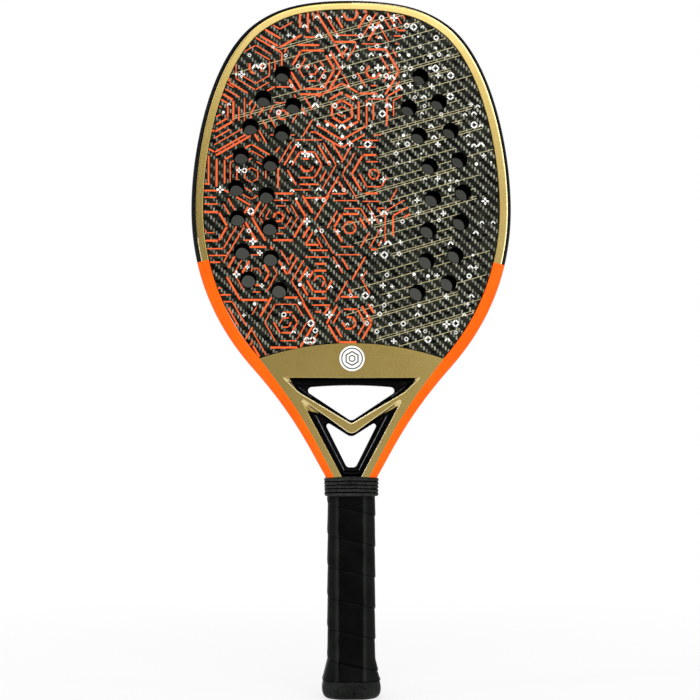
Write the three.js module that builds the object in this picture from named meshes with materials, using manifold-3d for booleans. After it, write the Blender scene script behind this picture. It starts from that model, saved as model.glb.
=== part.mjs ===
// A beach tennis racket: a hollow hoop with two legs, a foam core between two face sheets,
// a throat with two openings and a V strut, and an eight-sided handle wound with grip tape.
// Millimetres and degrees. +Z runs from the butt to the crown, the front face looks along -Y.
// Heights are built up from the butt end, and the whole racket is then set down so that the
// origin lies on the handle's axis at the middle of the grip.

import * as THREE from 'three';
import { mergeVertices } from 'three/addons/utils/BufferGeometryUtils.js';
import Module from 'manifold-3d';

const wasm = await Module();
wasm.setup();

// Lengths along the racket, stacked from the butt end upwards
const handleLength = 143;        // butt end to the collar's lower edge
const collarHeight = 13.4;
const throatFoot = 6.8;          // collar to the lower opening
const lowerOpeningHeight = 21.3; // on the centre line
const strutDepth = 12.8;         // V strut at mid depth, on the centre line
const upperOpeningHeight = 23.3;
const yokeHeight = 31.1;         // upper opening to the top of the yoke's arc
const lowerHeadHeight = 97.3;    // yoke to the widest place
const upperHeadHeight = 151;     // widest place to the crown

// Hoop and legs
const headWidth = 229.8;
const frameDepth = 22;
const tubeWidth = 9;             // seen face on
const tubeWall = 1.6;
const tubeCorner = 4;            // rounding of the outer edges
const tubeInnerCorner = 0.6;     // rounding of the edges beside the face
const boreCorner = 2.2;

// Outline: where it turns, its directions there, and the pull of each curve's ends
const throatHalfWidth = 71.1;    // where the outline turns from head to throat
const throatRise = 13.9;         // that place above the upper opening
const neckHalfWidth = 20.8;      // just above the collar
const neckRise = 4.3;            // that place above the collar
const neckBendHeight = 22.7;     // height over which the legs turn parallel
const shoulderAngle = 54.3;
const throatAngle = 41.6;
const neckAngle = 29.5;
const shoulderShares = { across: 0.6025, up: 0.8886 };
const crownPullShare = 0.33;
const shoulderPullShares = { up: 0.1143, down: 0.2576 };
const sidePullShares = { up: 0.2989, down: 0.3753 };
const throatPullShares = { up: 0.385, down: 0.599 };
const neckPullShares = { up: 0.2843, down: 0.45 };
const legPullShare = 0.2;

// Face sheets, core and drilled holes; places are shares of half width and head height
const sheetThickness = 0.9;
const holeRadius = 5.5;
const drillTurn = 0.85;          // the drilled pattern sits turned by this angle
const drillPivotShare = 0.787;
const outerHoleShares = [
  [0.432, 0.777], [0.549, 0.704], [0.626, 0.621], [0.682, 0.536],
  [0.708, 0.442], [0.696, 0.355], [0.664, 0.259], [0.623, 0.178],
];
const innerHoleShares = [
  [0.362, 0.685], [0.428, 0.605], [0.497, 0.516], [0.519, 0.423],
  [0.494, 0.330], [0.486, 0.241], [0.429, 0.149],
];

// Throat: arc of the yoke, the two openings and the sloped recess around each
const yokeRadius = 201;
const strutAngle = 31;
const openingLand = 8;           // straight wall at mid depth
const yokeBevel = 6.3;
const strutBevel = 2.8;
const legBevel = 8.5;
const recessMargin = 4.2;        // recess corner beside the strut to the leg's inner wall
const footMargin = 1.1;          // foot of the recess to the leg's inner wall
const recessFootDrop = 7.8;      // lower opening to the foot of its recess
const footHalfWidth = 3.2;       // lower opening at its foot
const upperRadii = { corner: 3.1, recess: 2.2, tip: 1.6 };
const lowerRadii = { corner: 1.7, recess: 0.8, notch: 5, foot: 3.2 };
const yokeJointShare = 0.9;      // joint of yoke and strut, in the height of the opening
const strutJointShare = 0.9;     // joint of strut and wedge, in the height of the opening

// Handle
const shaftWidth = 4.4;          // filler between the two legs
const palletSideWall = 3.15;
const palletFaceWall = 2.3;
const palletReach = 2;           // above the collar's lower edge
const flatShares = { front: 0.555, side: 0.56 };
const gripCorner = 1.6;
const capHeight = 28;
const capFlare = 3.4;
const capFloor = 7;
const capLip = 6;                // how far the lip stands out past the pallets
const capLipHeight = 13;
const lipShares = [[0, 0.27], [0.09, 0.5], [0.2, 0.74], [0.35, 0.93], [0.55, 1], [1, 0.9]];
const knotRoom = 9;              // room above the cord hole for the cord's knot
const cordHoleRadius = 4;
const stapleSpan = 9;
const stapleWire = 0.9;
const stapleLeg = 1;

// Grip tape, finishing band and collar
const tapeThickness = 1.6;
const tapePitch = 21.9;
const tapeGap = 0.55;            // between neighbouring turns
const tapeEdge = 0.35;           // slope of the tape's outer edges
const tapeTail = 0.8;            // height of the tape's cut ends
const tapeReach = 4;             // above the collar's lower edge
const tapeStartShare = 0.21;     // share of a turn at which the tape starts
const bandThickness = 0.4;
const bandHeight = 3.2;
const collarWall = 1;
const collarLip = 0.75;
const collarRib = 0.5;
const collarRibs = 5;
const collarCorner = 7.5;
const collarRibShares = [[0, 0], [0.3, 1], [0.7, 1]];

// Clearances, and how finely the curves are cut
const fitGap = 0.3;
const overrun = 5;
const legSteps = 1;
const neckSteps = 6;
const throatSteps = 6;
const sideSteps = 8;
const shoulderSteps = 10;
const crownSteps = 7;
const holeSides = 12;
const yokeSteps = 16;
const discSides = 160;
const tubeSteps = 3;
const openingSteps = 4;

// Heights above the butt end
const collarTop = handleLength + collarHeight;
const lowerFoot = collarTop + throatFoot;
const lowerNotch = lowerFoot + lowerOpeningHeight;
const upperFoot = lowerNotch + strutDepth;
const upperTop = upperFoot + upperOpeningHeight;
const yokeTop = upperTop + yokeHeight;
const widestHeight = yokeTop + lowerHeadHeight;
const crownHeight = widestHeight + upperHeadHeight;
const headHeight = lowerHeadHeight + upperHeadHeight;
const neckHeight = collarTop + neckRise;
const straightHeight = neckHeight - neckBendHeight;
const legFoot = capFloor + knotRoom;
const palletFoot = capHeight + fitGap;
const palletTop = handleLength + palletReach;
const tapeFoot = capLipHeight + fitGap;
const tapeTop = handleLength + tapeReach;
const gripMiddle = (capLipHeight + handleLength) / 2;

// Half sizes, from the middle of the racket outwards
const headHalf = headWidth / 2;
const halfDepth = frameDepth / 2;
const legHalf = shaftWidth / 2 + fitGap + tubeWidth;
const insideInset = tubeWidth + fitGap;
const palletHalf = {
  x: legHalf + fitGap + palletSideWall,
  y: halfDepth + fitGap + palletFaceWall,
};
const tapeOuter = fitGap + tapeThickness;
const bandInner = tapeOuter + fitGap;
const bandOuter = bandInner + bandThickness;
const strutSlope = Math.tan(THREE.MathUtils.degToRad(strutAngle));
const slopedGap = fitGap / Math.cos(THREE.MathUtils.degToRad(strutAngle));

// Solid helpers

// Geometry from points and faces, turned so that its faces point outwards.
function facingOut(positions, faces) {
  const at = (i) => new THREE.Vector3().fromArray(positions, 3 * i);
  let volume = 0;
  for (const [a, b, c] of faces) {
    volume += at(a).dot(at(b).cross(at(c)));
  }
  const ordered = volume < 0 ? faces.map(([a, b, c]) => [a, c, b]) : faces;
  const geometry = new THREE.BufferGeometry();
  geometry.setAttribute('position', new THREE.Float32BufferAttribute(positions, 3));
  geometry.setIndex(ordered.flat());
  return geometry;
}

// Closed surface through rings of [x, y, z] points. A closed run joins its last ring to its
// first, as on a tube with a bore; an open run gets end faces, laid out across two axes.
function surfaceThrough(rings, { closed = false, across = [0, 1] } = {}) {
  const count = rings[0].length;
  const spans = closed ? rings.length : rings.length - 1;
  const faces = [];
  for (let i = 0; i < spans; i++) {
    const low = i * count;
    const high = ((i + 1) % rings.length) * count;
    for (let j = 0; j < count; j++) {
      const k = (j + 1) % count;
      faces.push([low + j, low + k, high + k], [low + j, high + k, high + j]);
    }
  }
  if (!closed) {
    const top = spans * count;
    const flat = rings[0].map((p) => new THREE.Vector2(p[across[0]], p[across[1]]));
    const forward = THREE.ShapeUtils.isClockWise(flat);
    for (const [a, b, c] of THREE.ShapeUtils.triangulateShape(flat, [])) {
      const low = [a, b, c];
      const high = [top + c, top + b, top + a];
      faces.push(forward ? low : low.reverse(), forward ? high : high.reverse());
    }
  }
  return facingOut(rings.flat(2), faces);
}

function toSolid(geometry) {
  const bare = geometry.clone();
  bare.deleteAttribute('normal');
  bare.deleteAttribute('uv');
  const merged = mergeVertices(bare);
  return new wasm.Manifold(new wasm.Mesh({
    numProp: 3,
    vertProperties: new Float32Array(merged.attributes.position.array),
    triVerts: new Uint32Array(merged.index.array),
  }));
}

function fromSolid(solid) {
  const mesh = solid.getMesh();
  const geometry = new THREE.BufferGeometry();
  geometry.setAttribute('position', new THREE.BufferAttribute(mesh.vertProperties, 3));
  geometry.setIndex(new THREE.BufferAttribute(mesh.triVerts, 1));
  return geometry;
}

// Plate standing in the racket's plane through [x, z] points, from y = front backwards.
function plate(points, front, depth, holes = []) {
  const vectors = (list) => list.map(([x, z]) => new THREE.Vector2(x, z));
  const outline = new THREE.Shape(vectors(points));
  outline.holes = holes.map((hole) => new THREE.Path(vectors(hole)));
  const geometry = new THREE.ExtrudeGeometry(outline, { depth, bevelEnabled: false });
  geometry.rotateX(Math.PI / 2);
  geometry.translate(0, front + depth, 0);
  return geometry;
}

// Plate through the whole depth and past both faces, for cutting.
const cuttingPlate = (points) => toSolid(
  plate(points, -halfDepth - overrun, frameDepth + 2 * overrun),
);

function box(low, high) {
  const geometry = new THREE.BoxGeometry(...high.map((value, i) => value - low[i]));
  geometry.translate(...high.map((value, i) => (value + low[i]) / 2));
  return geometry;
}

// Flat outlines

// Corners rounded each by its own radius: one list of points for each corner.
function roundedCorners(corners, radii, steps) {
  return corners.map((corner, i) => {
    const here = new THREE.Vector2(...corner);
    const before = new THREE.Vector2(...corners.at(i - 1)).sub(here);
    const after = new THREE.Vector2(...corners[(i + 1) % corners.length]).sub(here);
    const half = before.angleTo(after) / 2;
    const room = Math.min(before.length(), after.length()) / 2;
    const reach = Math.min(radii[i] / Math.tan(half), room);
    const way = Math.sign(after.cross(before));
    const start = here.clone().addScaledVector(before.normalize(), reach);
    const centre = before.add(after.normalize()).setLength(reach / Math.cos(half)).add(here);
    return Array.from({ length: steps + 1 }, (_, k) => start.clone()
      .rotateAround(centre, way * (Math.PI - 2 * half) * k / steps)
      .toArray());
  });
}

// Ring of points round the handle, from the middle of the right side. Each rounded corner is
// followed by the middle of the next flat, so rings of both kinds below have equal counts.
function ringAround(corners, radius, steps) {
  const groups = roundedCorners(corners, corners.map(() => radius), steps);
  const ring = groups.flatMap((group, i) => {
    const end = group.at(-1);
    const next = groups[(i + 1) % groups.length][0];
    return [...group, [(end[0] + next[0]) / 2, (end[1] + next[1]) / 2]];
  });
  return [ring.at(-1), ...ring.slice(0, -1)];
}

// Eight-sided ring of the grip, a given distance outside the pallets.
function gripRing(out) {
  const x = palletHalf.x + out;
  const y = palletHalf.y + out;
  const front = x * flatShares.front;
  const side = y * flatShares.side;
  return ringAround([
    [x, side], [front, y], [-front, y], [-x, side],
    [-x, -side], [-front, -y], [front, -y], [x, -side],
  ], gripCorner, 1);
}

function boxRing(x, y, radius) {
  return ringAround([[x, y], [-x, y], [-x, -y], [x, -y]], radius, 4);
}

function circleRing(radius) {
  const { length } = gripRing(0);
  return Array.from({ length }, (_, i) => {
    const angle = 2 * Math.PI * i / length;
    return [radius * Math.cos(angle), radius * Math.sin(angle)];
  });
}

const raised = (ring, height) => ring.map(([x, y]) => [x, y, height]);

// Outline of the racket

// Right half of the outline, as curves from the leg's foot up to the crown.
function outlineCurves() {
  const along = (point, angle, length) => new THREE.Vector2(
    point.x + Math.sin(THREE.MathUtils.degToRad(angle)) * length,
    point.y + Math.cos(THREE.MathUtils.degToRad(angle)) * length,
  );
  const foot = new THREE.Vector2(legHalf, legFoot);
  const leg = new THREE.Vector2(legHalf, straightHeight);
  const neck = new THREE.Vector2(neckHalfWidth, neckHeight);
  const throat = new THREE.Vector2(throatHalfWidth, upperTop + throatRise);
  const side = new THREE.Vector2(headHalf, widestHeight);
  const shoulder = new THREE.Vector2(
    headHalf * shoulderShares.across,
    widestHeight + upperHeadHeight * shoulderShares.up,
  );
  const crown = new THREE.Vector2(0, crownHeight);
  const throatSpan = throat.y - neck.y;
  const sideSpan = side.y - throat.y;
  const bend = (steps, ...points) => ({ steps, curve: new THREE.CubicBezierCurve(...points) });
  return [
    { steps: legSteps, curve: new THREE.LineCurve(foot, leg) },
    bend(neckSteps, leg, along(leg, 0, neckBendHeight * legPullShare),
      along(neck, neckAngle, -neckBendHeight * neckPullShares.down), neck),
    bend(throatSteps, neck, along(neck, neckAngle, throatSpan * neckPullShares.up),
      along(throat, throatAngle, -throatSpan * throatPullShares.down), throat),
    bend(sideSteps, throat, along(throat, throatAngle, sideSpan * throatPullShares.up),
      along(side, 0, -sideSpan * sidePullShares.down), side),
    bend(shoulderSteps, side, along(side, 0, upperHeadHeight * sidePullShares.up),
      along(shoulder, -shoulderAngle, -upperHeadHeight * shoulderPullShares.down), shoulder),
    bend(crownSteps, shoulder, along(shoulder, -shoulderAngle, upperHeadHeight * shoulderPullShares.up),
      new THREE.Vector2(headHalf * crownPullShare, crownHeight), crown),
  ];
}

// Stations up the right half: a point and the direction that points out of the racket.
const stations = outlineCurves().flatMap(({ steps, curve }, i) => {
  const first = i === 0 ? 0 : 1;
  return Array.from({ length: steps + 1 - first }, (_, k) => {
    const share = (k + first) / steps;
    const tangent = curve.getTangent(share);
    return { point: curve.getPoint(share), out: new THREE.Vector2(tangent.y, -tangent.x) };
  });
});

// Stations all the way round, from the right leg's foot over the crown to the left leg's.
const mirrored = ({ point, out }) => ({
  point: new THREE.Vector2(-point.x, point.y),
  out: new THREE.Vector2(-out.x, out.y),
});
const wholeOutline = [...stations, ...stations.slice(0, -1).reverse().map(mirrored)];

// Points of the outline, moved inwards.
const insetPoints = (list, inset) => list.map(({ point, out }) => [
  point.x - out.x * inset,
  point.y - out.y * inset,
]);

// Half width at a height below the widest place, of the outline moved inwards.
function halfWidthAt(height, inset = 0) {
  const points = insetPoints(stations, inset);
  const above = Math.max(1, points.findIndex(([, z]) => z >= height));
  const [low, high] = [points[above - 1], points[above]];
  return THREE.MathUtils.lerp(low[0], high[0], (height - low[1]) / (high[1] - low[1]));
}

// Head

function hoopRing({ point, out }, section) {
  return section.map(([across, depth]) => [
    point.x + out.x * across,
    depth,
    point.y + out.y * across,
  ]);
}

function hoopSection(inset, outerRadius, innerRadius) {
  const depth = halfDepth - inset;
  const inner = -tubeWidth + inset;
  const corners = [[-inset, depth], [inner, depth], [inner, -depth], [-inset, -depth]];
  const radii = [outerRadius, innerRadius, innerRadius, outerRadius];
  return roundedCorners(corners, radii, tubeSteps).flat();
}

function makeHoop() {
  const outside = hoopSection(0, tubeCorner, tubeInnerCorner);
  const bore = hoopSection(tubeWall, boreCorner, boreCorner);
  return surfaceThrough([
    ...wholeOutline.map((station) => hoopRing(station, outside)),
    ...wholeOutline.map((station) => hoopRing(station, bore)).reverse(),
  ], { closed: true });
}

// Outline of the face: inside the hoop and above the yoke's arc.
function facePoints() {
  const centre = new THREE.Vector2(0, yokeTop - yokeRadius);
  const radius = yokeRadius + fitGap;
  const right = insetPoints(stations, insideInset).map((p) => new THREE.Vector2(...p));
  const past = (point) => point.distanceTo(centre) - radius;
  const first = right.findIndex((point) => point.y > centre.y && past(point) > 0);
  const [below, above] = [right[first - 1], right[first]];
  const corner = below.clone().lerp(above, past(below) / (past(below) - past(above)));
  const side = [corner, ...right.slice(first)];
  const half = Math.atan2(corner.x, corner.y - centre.y);
  const arc = Array.from({ length: yokeSteps - 1 }, (_, i) => {
    const angle = half * (2 * (i + 1) / yokeSteps - 1);
    return [radius * Math.sin(angle), centre.y + radius * Math.cos(angle)];
  });
  return [
    ...side.map((point) => point.toArray()),
    ...side.slice(0, -1).reverse().map((point) => [-point.x, point.y]),
    ...arc,
  ];
}

// Drilled holes, mirrored left and right and then turned together about a point near the top.
function holePoints() {
  const pivot = new THREE.Vector2(0, yokeTop + headHeight * drillPivotShare);
  const angle = THREE.MathUtils.degToRad(-drillTurn);
  const centres = [...outerHoleShares, ...innerHoleShares].flatMap(([across, up]) => [-1, 1].map(
    (side) => new THREE.Vector2(side * headHalf * across, yokeTop + headHeight * up)
      .rotateAround(pivot, angle),
  ));
  return centres.map((centre) => Array.from({ length: holeSides }, (_, i) => {
    const turn = 2 * Math.PI * i / holeSides;
    return [centre.x + holeRadius * Math.cos(turn), centre.y + holeRadius * Math.sin(turn)];
  }));
}

function makeFaceLayer(front, depth) {
  return plate(facePoints(), front, depth, holePoints());
}

// Throat

// Wedge-shaped cutter of an opening: the recess at both faces, the opening at mid depth.
function openingCutter(recess, opening) {
  const ring = (points, depth) => points.map(([x, z]) => [x, depth, z]);
  return toSolid(surfaceThrough([
    ring(recess, -halfDepth - overrun),
    ring(recess, -halfDepth),
    ring(opening, -openingLand / 2),
    ring(opening, openingLand / 2),
    ring(recess, halfDepth),
    ring(recess, halfDepth + overrun),
  ], { across: [0, 2] }));
}

function upperOutline(foot, top, radius) {
  const half = (top - foot) / strutSlope;
  const radii = [radius, radius, upperRadii.tip];
  return roundedCorners([[half, top], [-half, top], [0, foot]], radii, openingSteps).flat();
}

function lowerOutline(corner, notch, foot, radius) {
  const points = [corner, [0, notch], [-corner[0], corner[1]], [-foot[0], foot[1]], foot];
  const radii = [radius, lowerRadii.notch, radius, lowerRadii.foot, lowerRadii.foot];
  return roundedCorners(points, radii, openingSteps).flat();
}

function upperCutter() {
  return openingCutter(
    upperOutline(upperFoot - strutBevel, upperTop + yokeBevel, upperRadii.recess),
    upperOutline(upperFoot, upperTop, upperRadii.corner),
  );
}

// The recess keeps its margins to the legs; the opening lies inside it by the bevels.
function lowerCutter() {
  const recessNotch = lowerNotch + strutBevel;
  let cornerX = 0;
  for (let i = 0; i < 40; i++) {
    cornerX = halfWidthAt(recessNotch + strutSlope * cornerX, insideInset) - recessMargin;
  }
  const recessCorner = [cornerX, recessNotch + strutSlope * cornerX];
  const recessFoot = lowerFoot - recessFootDrop;
  const footX = halfWidthAt(recessFoot, insideInset) - footMargin;
  const lean = (cornerX - footX) / (recessCorner[1] - recessFoot);
  const openingX = (footX - legBevel + (lowerNotch - recessFoot) * lean) / (1 - strutSlope * lean);
  const openingCorner = [openingX, lowerNotch + strutSlope * openingX];
  return openingCutter(
    lowerOutline(recessCorner, recessNotch, [footX, recessFoot], lowerRadii.recess),
    lowerOutline(openingCorner, lowerNotch, [footHalfWidth, lowerFoot], lowerRadii.corner),
  );
}

// Yoke, strut and wedge: the space between the legs, below the face, split at two joints.
function makeThroat() {
  const inside = toSolid(plate(insetPoints(wholeOutline, insideInset), -halfDepth, frameDepth));
  const disc = new THREE.CylinderGeometry(
    yokeRadius, yokeRadius, frameDepth + 2 * overrun, discSides,
  );
  disc.translate(0, 0, yokeTop - yokeRadius);
  const whole = inside.intersect(toSolid(disc)).subtract(upperCutter()).subtract(lowerCutter());
  const yokeJoint = upperFoot + upperOpeningHeight * yokeJointShare;
  const strutJoint = lowerFoot + lowerOpeningHeight * strutJointShare;
  const strutTop = yokeJoint - fitGap / 2;
  const strutTip = strutJoint + slopedGap / 2;
  const strutHalf = (strutTop - strutTip) / strutSlope;
  const wedgeTip = strutJoint - slopedGap / 2;
  const wedgeFoot = straightHeight + fitGap;
  const wedgeTop = wedgeTip + strutSlope * headHalf;
  return {
    yoke: whole.intersect(cuttingPlate([
      [headHalf, yokeJoint + fitGap / 2], [headHalf, crownHeight],
      [-headHalf, crownHeight], [-headHalf, yokeJoint + fitGap / 2],
    ])),
    strut: whole.intersect(cuttingPlate([
      [0, strutTip], [strutHalf, strutTop], [-strutHalf, strutTop],
    ])),
    wedge: whole.intersect(cuttingPlate([
      [0, wedgeTip], [-headHalf, wedgeTop], [-headHalf, wedgeFoot],
      [headHalf, wedgeFoot], [headHalf, wedgeTop],
    ])),
  };
}

// Handle

const makeShaftFiller = () => box(
  [-shaftWidth / 2, -halfDepth, legFoot],
  [shaftWidth / 2, halfDepth, straightHeight],
);

// Space round the two legs at a height, with the clearance that the handle keeps to them.
function legSpace(height) {
  const x = Math.max(legHalf, halfWidthAt(height)) + fitGap;
  return boxRing(x, halfDepth + fitGap, tubeCorner + fitGap);
}

// One half of the handle's eight-sided sleeve: side is -1 in front and 1 behind.
function makePallet(side) {
  const heights = [palletFoot, straightHeight];
  for (let i = 1; i <= neckSteps; i++) {
    heights.push(THREE.MathUtils.lerp(straightHeight, palletTop, i / neckSteps));
  }
  const half = (ring) => {
    const reach = ring[0][0];
    const points = ring.filter(([, y]) => y * side > fitGap);
    const ordered = points.sort((a, b) => a[0] - b[0]);
    return [[-reach, side * fitGap / 2], ...ordered, [reach, side * fitGap / 2]];
  };
  return toSolid(surfaceThrough(heights.map((height) => raised(
    [...half(gripRing(0)), ...half(legSpace(height)).reverse()], height,
  ))));
}

function makeCap() {
  const lip = lipShares.map(([up, out]) => raised(gripRing(capLip * out), capLipHeight * up));
  return toSolid(surfaceThrough([
    ...lip,
    raised(gripRing(capFlare), capLipHeight),
    raised(gripRing(0), capHeight),
    raised(legSpace(capHeight), capHeight),
    raised(legSpace(capHeight), capFloor),
    raised(circleRing(cordHoleRadius), capFloor),
    raised(circleRing(cordHoleRadius), 0),
  ], { closed: true }));
}

// Staple across the joint of cap and pallet; grown by a clearance, it is its own groove.
function staple(side, grow = 0) {
  const outer = palletHalf.y;
  const legEnd = outer - stapleWire - stapleLeg - grow;
  const block = (x, near, far, low, high) => toSolid(box(
    [-x, side < 0 ? -far : near, low],
    [x, side < 0 ? -near : far, high],
  ));
  const half = stapleWire / 2 + grow;
  const low = palletFoot - stapleSpan / 2 - grow;
  const high = palletFoot + stapleSpan / 2 + grow;
  const wire = stapleWire + 2 * grow;
  const crownOut = grow > 0 ? outer + capFlare : outer;
  return block(half, outer - stapleWire - grow, crownOut, low, high)
    .add(block(half, legEnd, outer, low, low + wire))
    .add(block(half, legEnd, outer, high - wire, high));
}

// Grip tape: one unbroken strip that climbs round the handle and is cut level at both ends.
function makeTape() {
  const places = gripRing(0).length;
  const width = tapePitch - tapeGap;
  const climb = tapePitch / places;
  const start = Math.round(places * tapeStartShare);
  const flareAt = (height) => capFlare
    * THREE.MathUtils.clamp((capHeight - height) / (capHeight - capLipHeight), 0, 1);
  const at = (place, height, out) => {
    const [x, y] = gripRing(flareAt(height) + out)[place];
    return [x, y, height];
  };
  const rings = [];
  for (let top = tapeFoot + tapeTail; top - width < tapeTop - tapeTail; top += climb) {
    const place = THREE.MathUtils.euclideanModulo(start - rings.length, places);
    const low = Math.max(tapeFoot, top - width);
    const high = Math.min(tapeTop, top);
    const middle = (low + high) / 2;
    rings.push([
      at(place, low, fitGap), at(place, middle, fitGap), at(place, high, fitGap),
      at(place, high, tapeOuter - tapeEdge), at(place, high - tapeEdge, tapeOuter),
      at(place, middle, tapeOuter),
      at(place, low + tapeEdge, tapeOuter), at(place, low, tapeOuter - tapeEdge),
    ]);
  }
  return { geometry: surfaceThrough(rings, { across: [0, 2] }), rings };
}

// Least distance between points of the tape that lie at least half a turn apart.
function leastTapeGap(rings) {
  const half = gripRing(0).length / 2;
  let least = Infinity;
  rings.forEach((ring, i) => {
    for (const other of rings.slice(i + half, i + 4 * half)) {
      for (const [x, y, z] of ring) {
        for (const p of other) {
          least = Math.min(least, Math.hypot(x - p[0], y - p[1], z - p[2]));
        }
      }
    }
  });
  return least;
}

function makeBand() {
  const foot = tapeTop - bandHeight;
  return surfaceThrough([
    raised(gripRing(bandOuter), foot), raised(gripRing(bandOuter), tapeTop),
    raised(gripRing(bandInner), tapeTop), raised(gripRing(bandInner), foot),
  ], { closed: true });
}

// Ribbed rubber collar: wide over the tape at its foot, drawn in to the legs at its top.
function makeCollar() {
  const shoulder = tapeTop + fitGap;
  const wide = {
    x: palletHalf.x + bandOuter + fitGap,
    y: palletHalf.y + bandOuter + fitGap,
    radius: collarCorner,
  };
  const tight = {
    x: halfWidthAt(collarTop) + fitGap,
    y: halfDepth + fitGap,
    radius: tubeCorner + fitGap,
  };
  const { lerp, clamp } = THREE.MathUtils;
  const boreRing = (height, wall) => {
    const share = clamp((height - shoulder) / (collarTop - shoulder), 0, 1);
    return raised(boxRing(
      lerp(wide.x, tight.x, share) + wall,
      lerp(wide.y, tight.y, share) + wall,
      lerp(wide.radius, tight.radius, share) + wall,
    ), height);
  };
  const pitch = collarHeight / collarRibs;
  const outside = [];
  for (let i = 0; i < collarRibs; i++) {
    for (const [up, out] of collarRibShares) {
      const height = handleLength + pitch * (i + up);
      const wall = lerp(collarWall, collarLip, (height - handleLength) / collarHeight);
      outside.push(boreRing(height, wall + collarRib * out));
    }
  }
  return surfaceThrough([
    ...outside, boreRing(collarTop, collarLip),
    boreRing(collarTop, 0), boreRing(shoulder, 0), boreRing(handleLength, 0),
  ], { closed: true });
}

// Materials

const finish = (color, roughness, metalness = 0) => new THREE.MeshStandardMaterial(
  { color, roughness, metalness },
);
const finishes = {
  hoop: finish(0xff680c, 0.35),
  core: finish(0x2a2b2a, 0.9),
  sheet: finish(0x2b2d28, 0.45),
  gold: finish(0x9c8744, 0.4, 0.3),
  filler: finish(0xb8a888, 0.8),
  pallet: finish(0x3a3a38, 0.8),
  cap: finish(0x151716, 0.7),
  steel: finish(0xa8abae, 0.35, 1),
  tape: finish(0x161918, 0.75),
  band: finish(0x0c0c0c, 0.5),
  collar: finish(0x2a2d2b, 0.8),
};

// Assembly

const racket = new THREE.Group();
const head = new THREE.Group();
const throat = new THREE.Group();
const handle = new THREE.Group();
racket.add(head, throat, handle);
racket.position.z = -gripMiddle;

function add(group, name, geometry, material) {
  const mesh = new THREE.Mesh(geometry, material);
  mesh.name = name;
  group.add(mesh);
}

add(head, 'frame_hoop', makeHoop(), finishes.hoop);
const coreFront = -halfDepth + sheetThickness + fitGap;
add(head, 'foam_core', makeFaceLayer(coreFront, -2 * coreFront), finishes.core);
add(head, 'front_face_sheet', makeFaceLayer(-halfDepth, sheetThickness), finishes.sheet);
add(head, 'back_face_sheet', makeFaceLayer(halfDepth - sheetThickness, sheetThickness), finishes.sheet);

const { yoke, strut, wedge } = makeThroat();
add(throat, 'throat_yoke', fromSolid(yoke), finishes.gold);
add(throat, 'throat_strut', fromSolid(strut), finishes.gold);
add(throat, 'throat_wedge', fromSolid(wedge), finishes.gold);

const grooves = staple(-1, fitGap).add(staple(1, fitGap));
add(handle, 'shaft_filler', makeShaftFiller(), finishes.filler);
add(handle, 'front_pallet', fromSolid(makePallet(-1).subtract(grooves)), finishes.pallet);
add(handle, 'back_pallet', fromSolid(makePallet(1).subtract(grooves)), finishes.pallet);
add(handle, 'butt_cap', fromSolid(makeCap().subtract(grooves)), finishes.cap);
add(handle, 'front_staple', fromSolid(staple(-1)), finishes.steel);
add(handle, 'back_staple', fromSolid(staple(1)), finishes.steel);
const tape = makeTape();
add(handle, 'grip_tape', tape.geometry, finishes.tape);
add(handle, 'finishing_band', makeBand(), finishes.band);
add(handle, 'rubber_collar', makeCollar(), finishes.collar);

console.log('grip tape, least gap between its turns in mm:', leastTapeGap(tape.rings).toFixed(2));

export default racket;
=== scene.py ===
import math
import random

import bmesh
import bpy
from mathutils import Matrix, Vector, noise
from mathutils.geometry import tessellate_polygon


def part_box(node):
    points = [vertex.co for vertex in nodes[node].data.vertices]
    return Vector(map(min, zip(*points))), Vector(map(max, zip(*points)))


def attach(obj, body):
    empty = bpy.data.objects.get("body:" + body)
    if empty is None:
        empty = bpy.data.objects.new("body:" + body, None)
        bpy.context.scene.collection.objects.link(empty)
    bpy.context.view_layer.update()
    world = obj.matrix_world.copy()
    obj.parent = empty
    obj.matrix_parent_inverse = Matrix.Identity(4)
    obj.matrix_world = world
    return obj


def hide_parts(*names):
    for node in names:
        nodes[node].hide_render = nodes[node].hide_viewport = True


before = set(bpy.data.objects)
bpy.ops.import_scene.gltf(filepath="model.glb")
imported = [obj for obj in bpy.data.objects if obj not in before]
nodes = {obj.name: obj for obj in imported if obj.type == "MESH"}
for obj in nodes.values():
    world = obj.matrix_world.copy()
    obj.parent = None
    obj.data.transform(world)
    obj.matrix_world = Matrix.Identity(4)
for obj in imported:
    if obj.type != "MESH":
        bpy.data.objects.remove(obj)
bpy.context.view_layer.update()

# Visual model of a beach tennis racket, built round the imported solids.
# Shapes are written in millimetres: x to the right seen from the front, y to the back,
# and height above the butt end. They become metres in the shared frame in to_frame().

MM = 0.001
WELD = 2e-6
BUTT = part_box("butt_cap")[0].z

# Outline of the racket, as in the solids
HEAD_HALF = 114.9
HALF_DEPTH = 11.0
WIDEST = 349.0
CROWN = 500.0
LEG_HALF = 11.5
LEG_FOOT = 16.0
LEG_BEND = (138.0, 160.7)
NECK_HALF = 20.8
THROAT_HALF = 71.1
THROAT_HEIGHT = 234.5
UPPER_HEAD = CROWN - WIDEST

# Throat and its two openings
YOKE_TOP = 251.7
YOKE_RADIUS = 201.0
STRUT_SLOPE = math.tan(math.radians(31))
UPPER_FOOT = 196.3
UPPER_SLOPE = 0.66
UPPER_TOP = 220.6
UPPER_BULGE = 1.3
LOWER_FOOT = (3.2, 163.2)
LOWER_NOTCH = 184.5
LOWER_CORNER = (20.4, 197.5)
UPPER_RECESS_FOOT = 193.6
UPPER_RECESS_BEND = 38.0
UPPER_RECESS_CORNER = (49.6, 227.5)
UPPER_RECESS_SAG = 0.1
LOWER_RECESS_FOOT = (6.9, 155.6)
LOWER_RECESS_NOTCH = 187.0
LOWER_RECESS_CORNER = (38.0, 214.3)
LAND = 4.0

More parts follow.
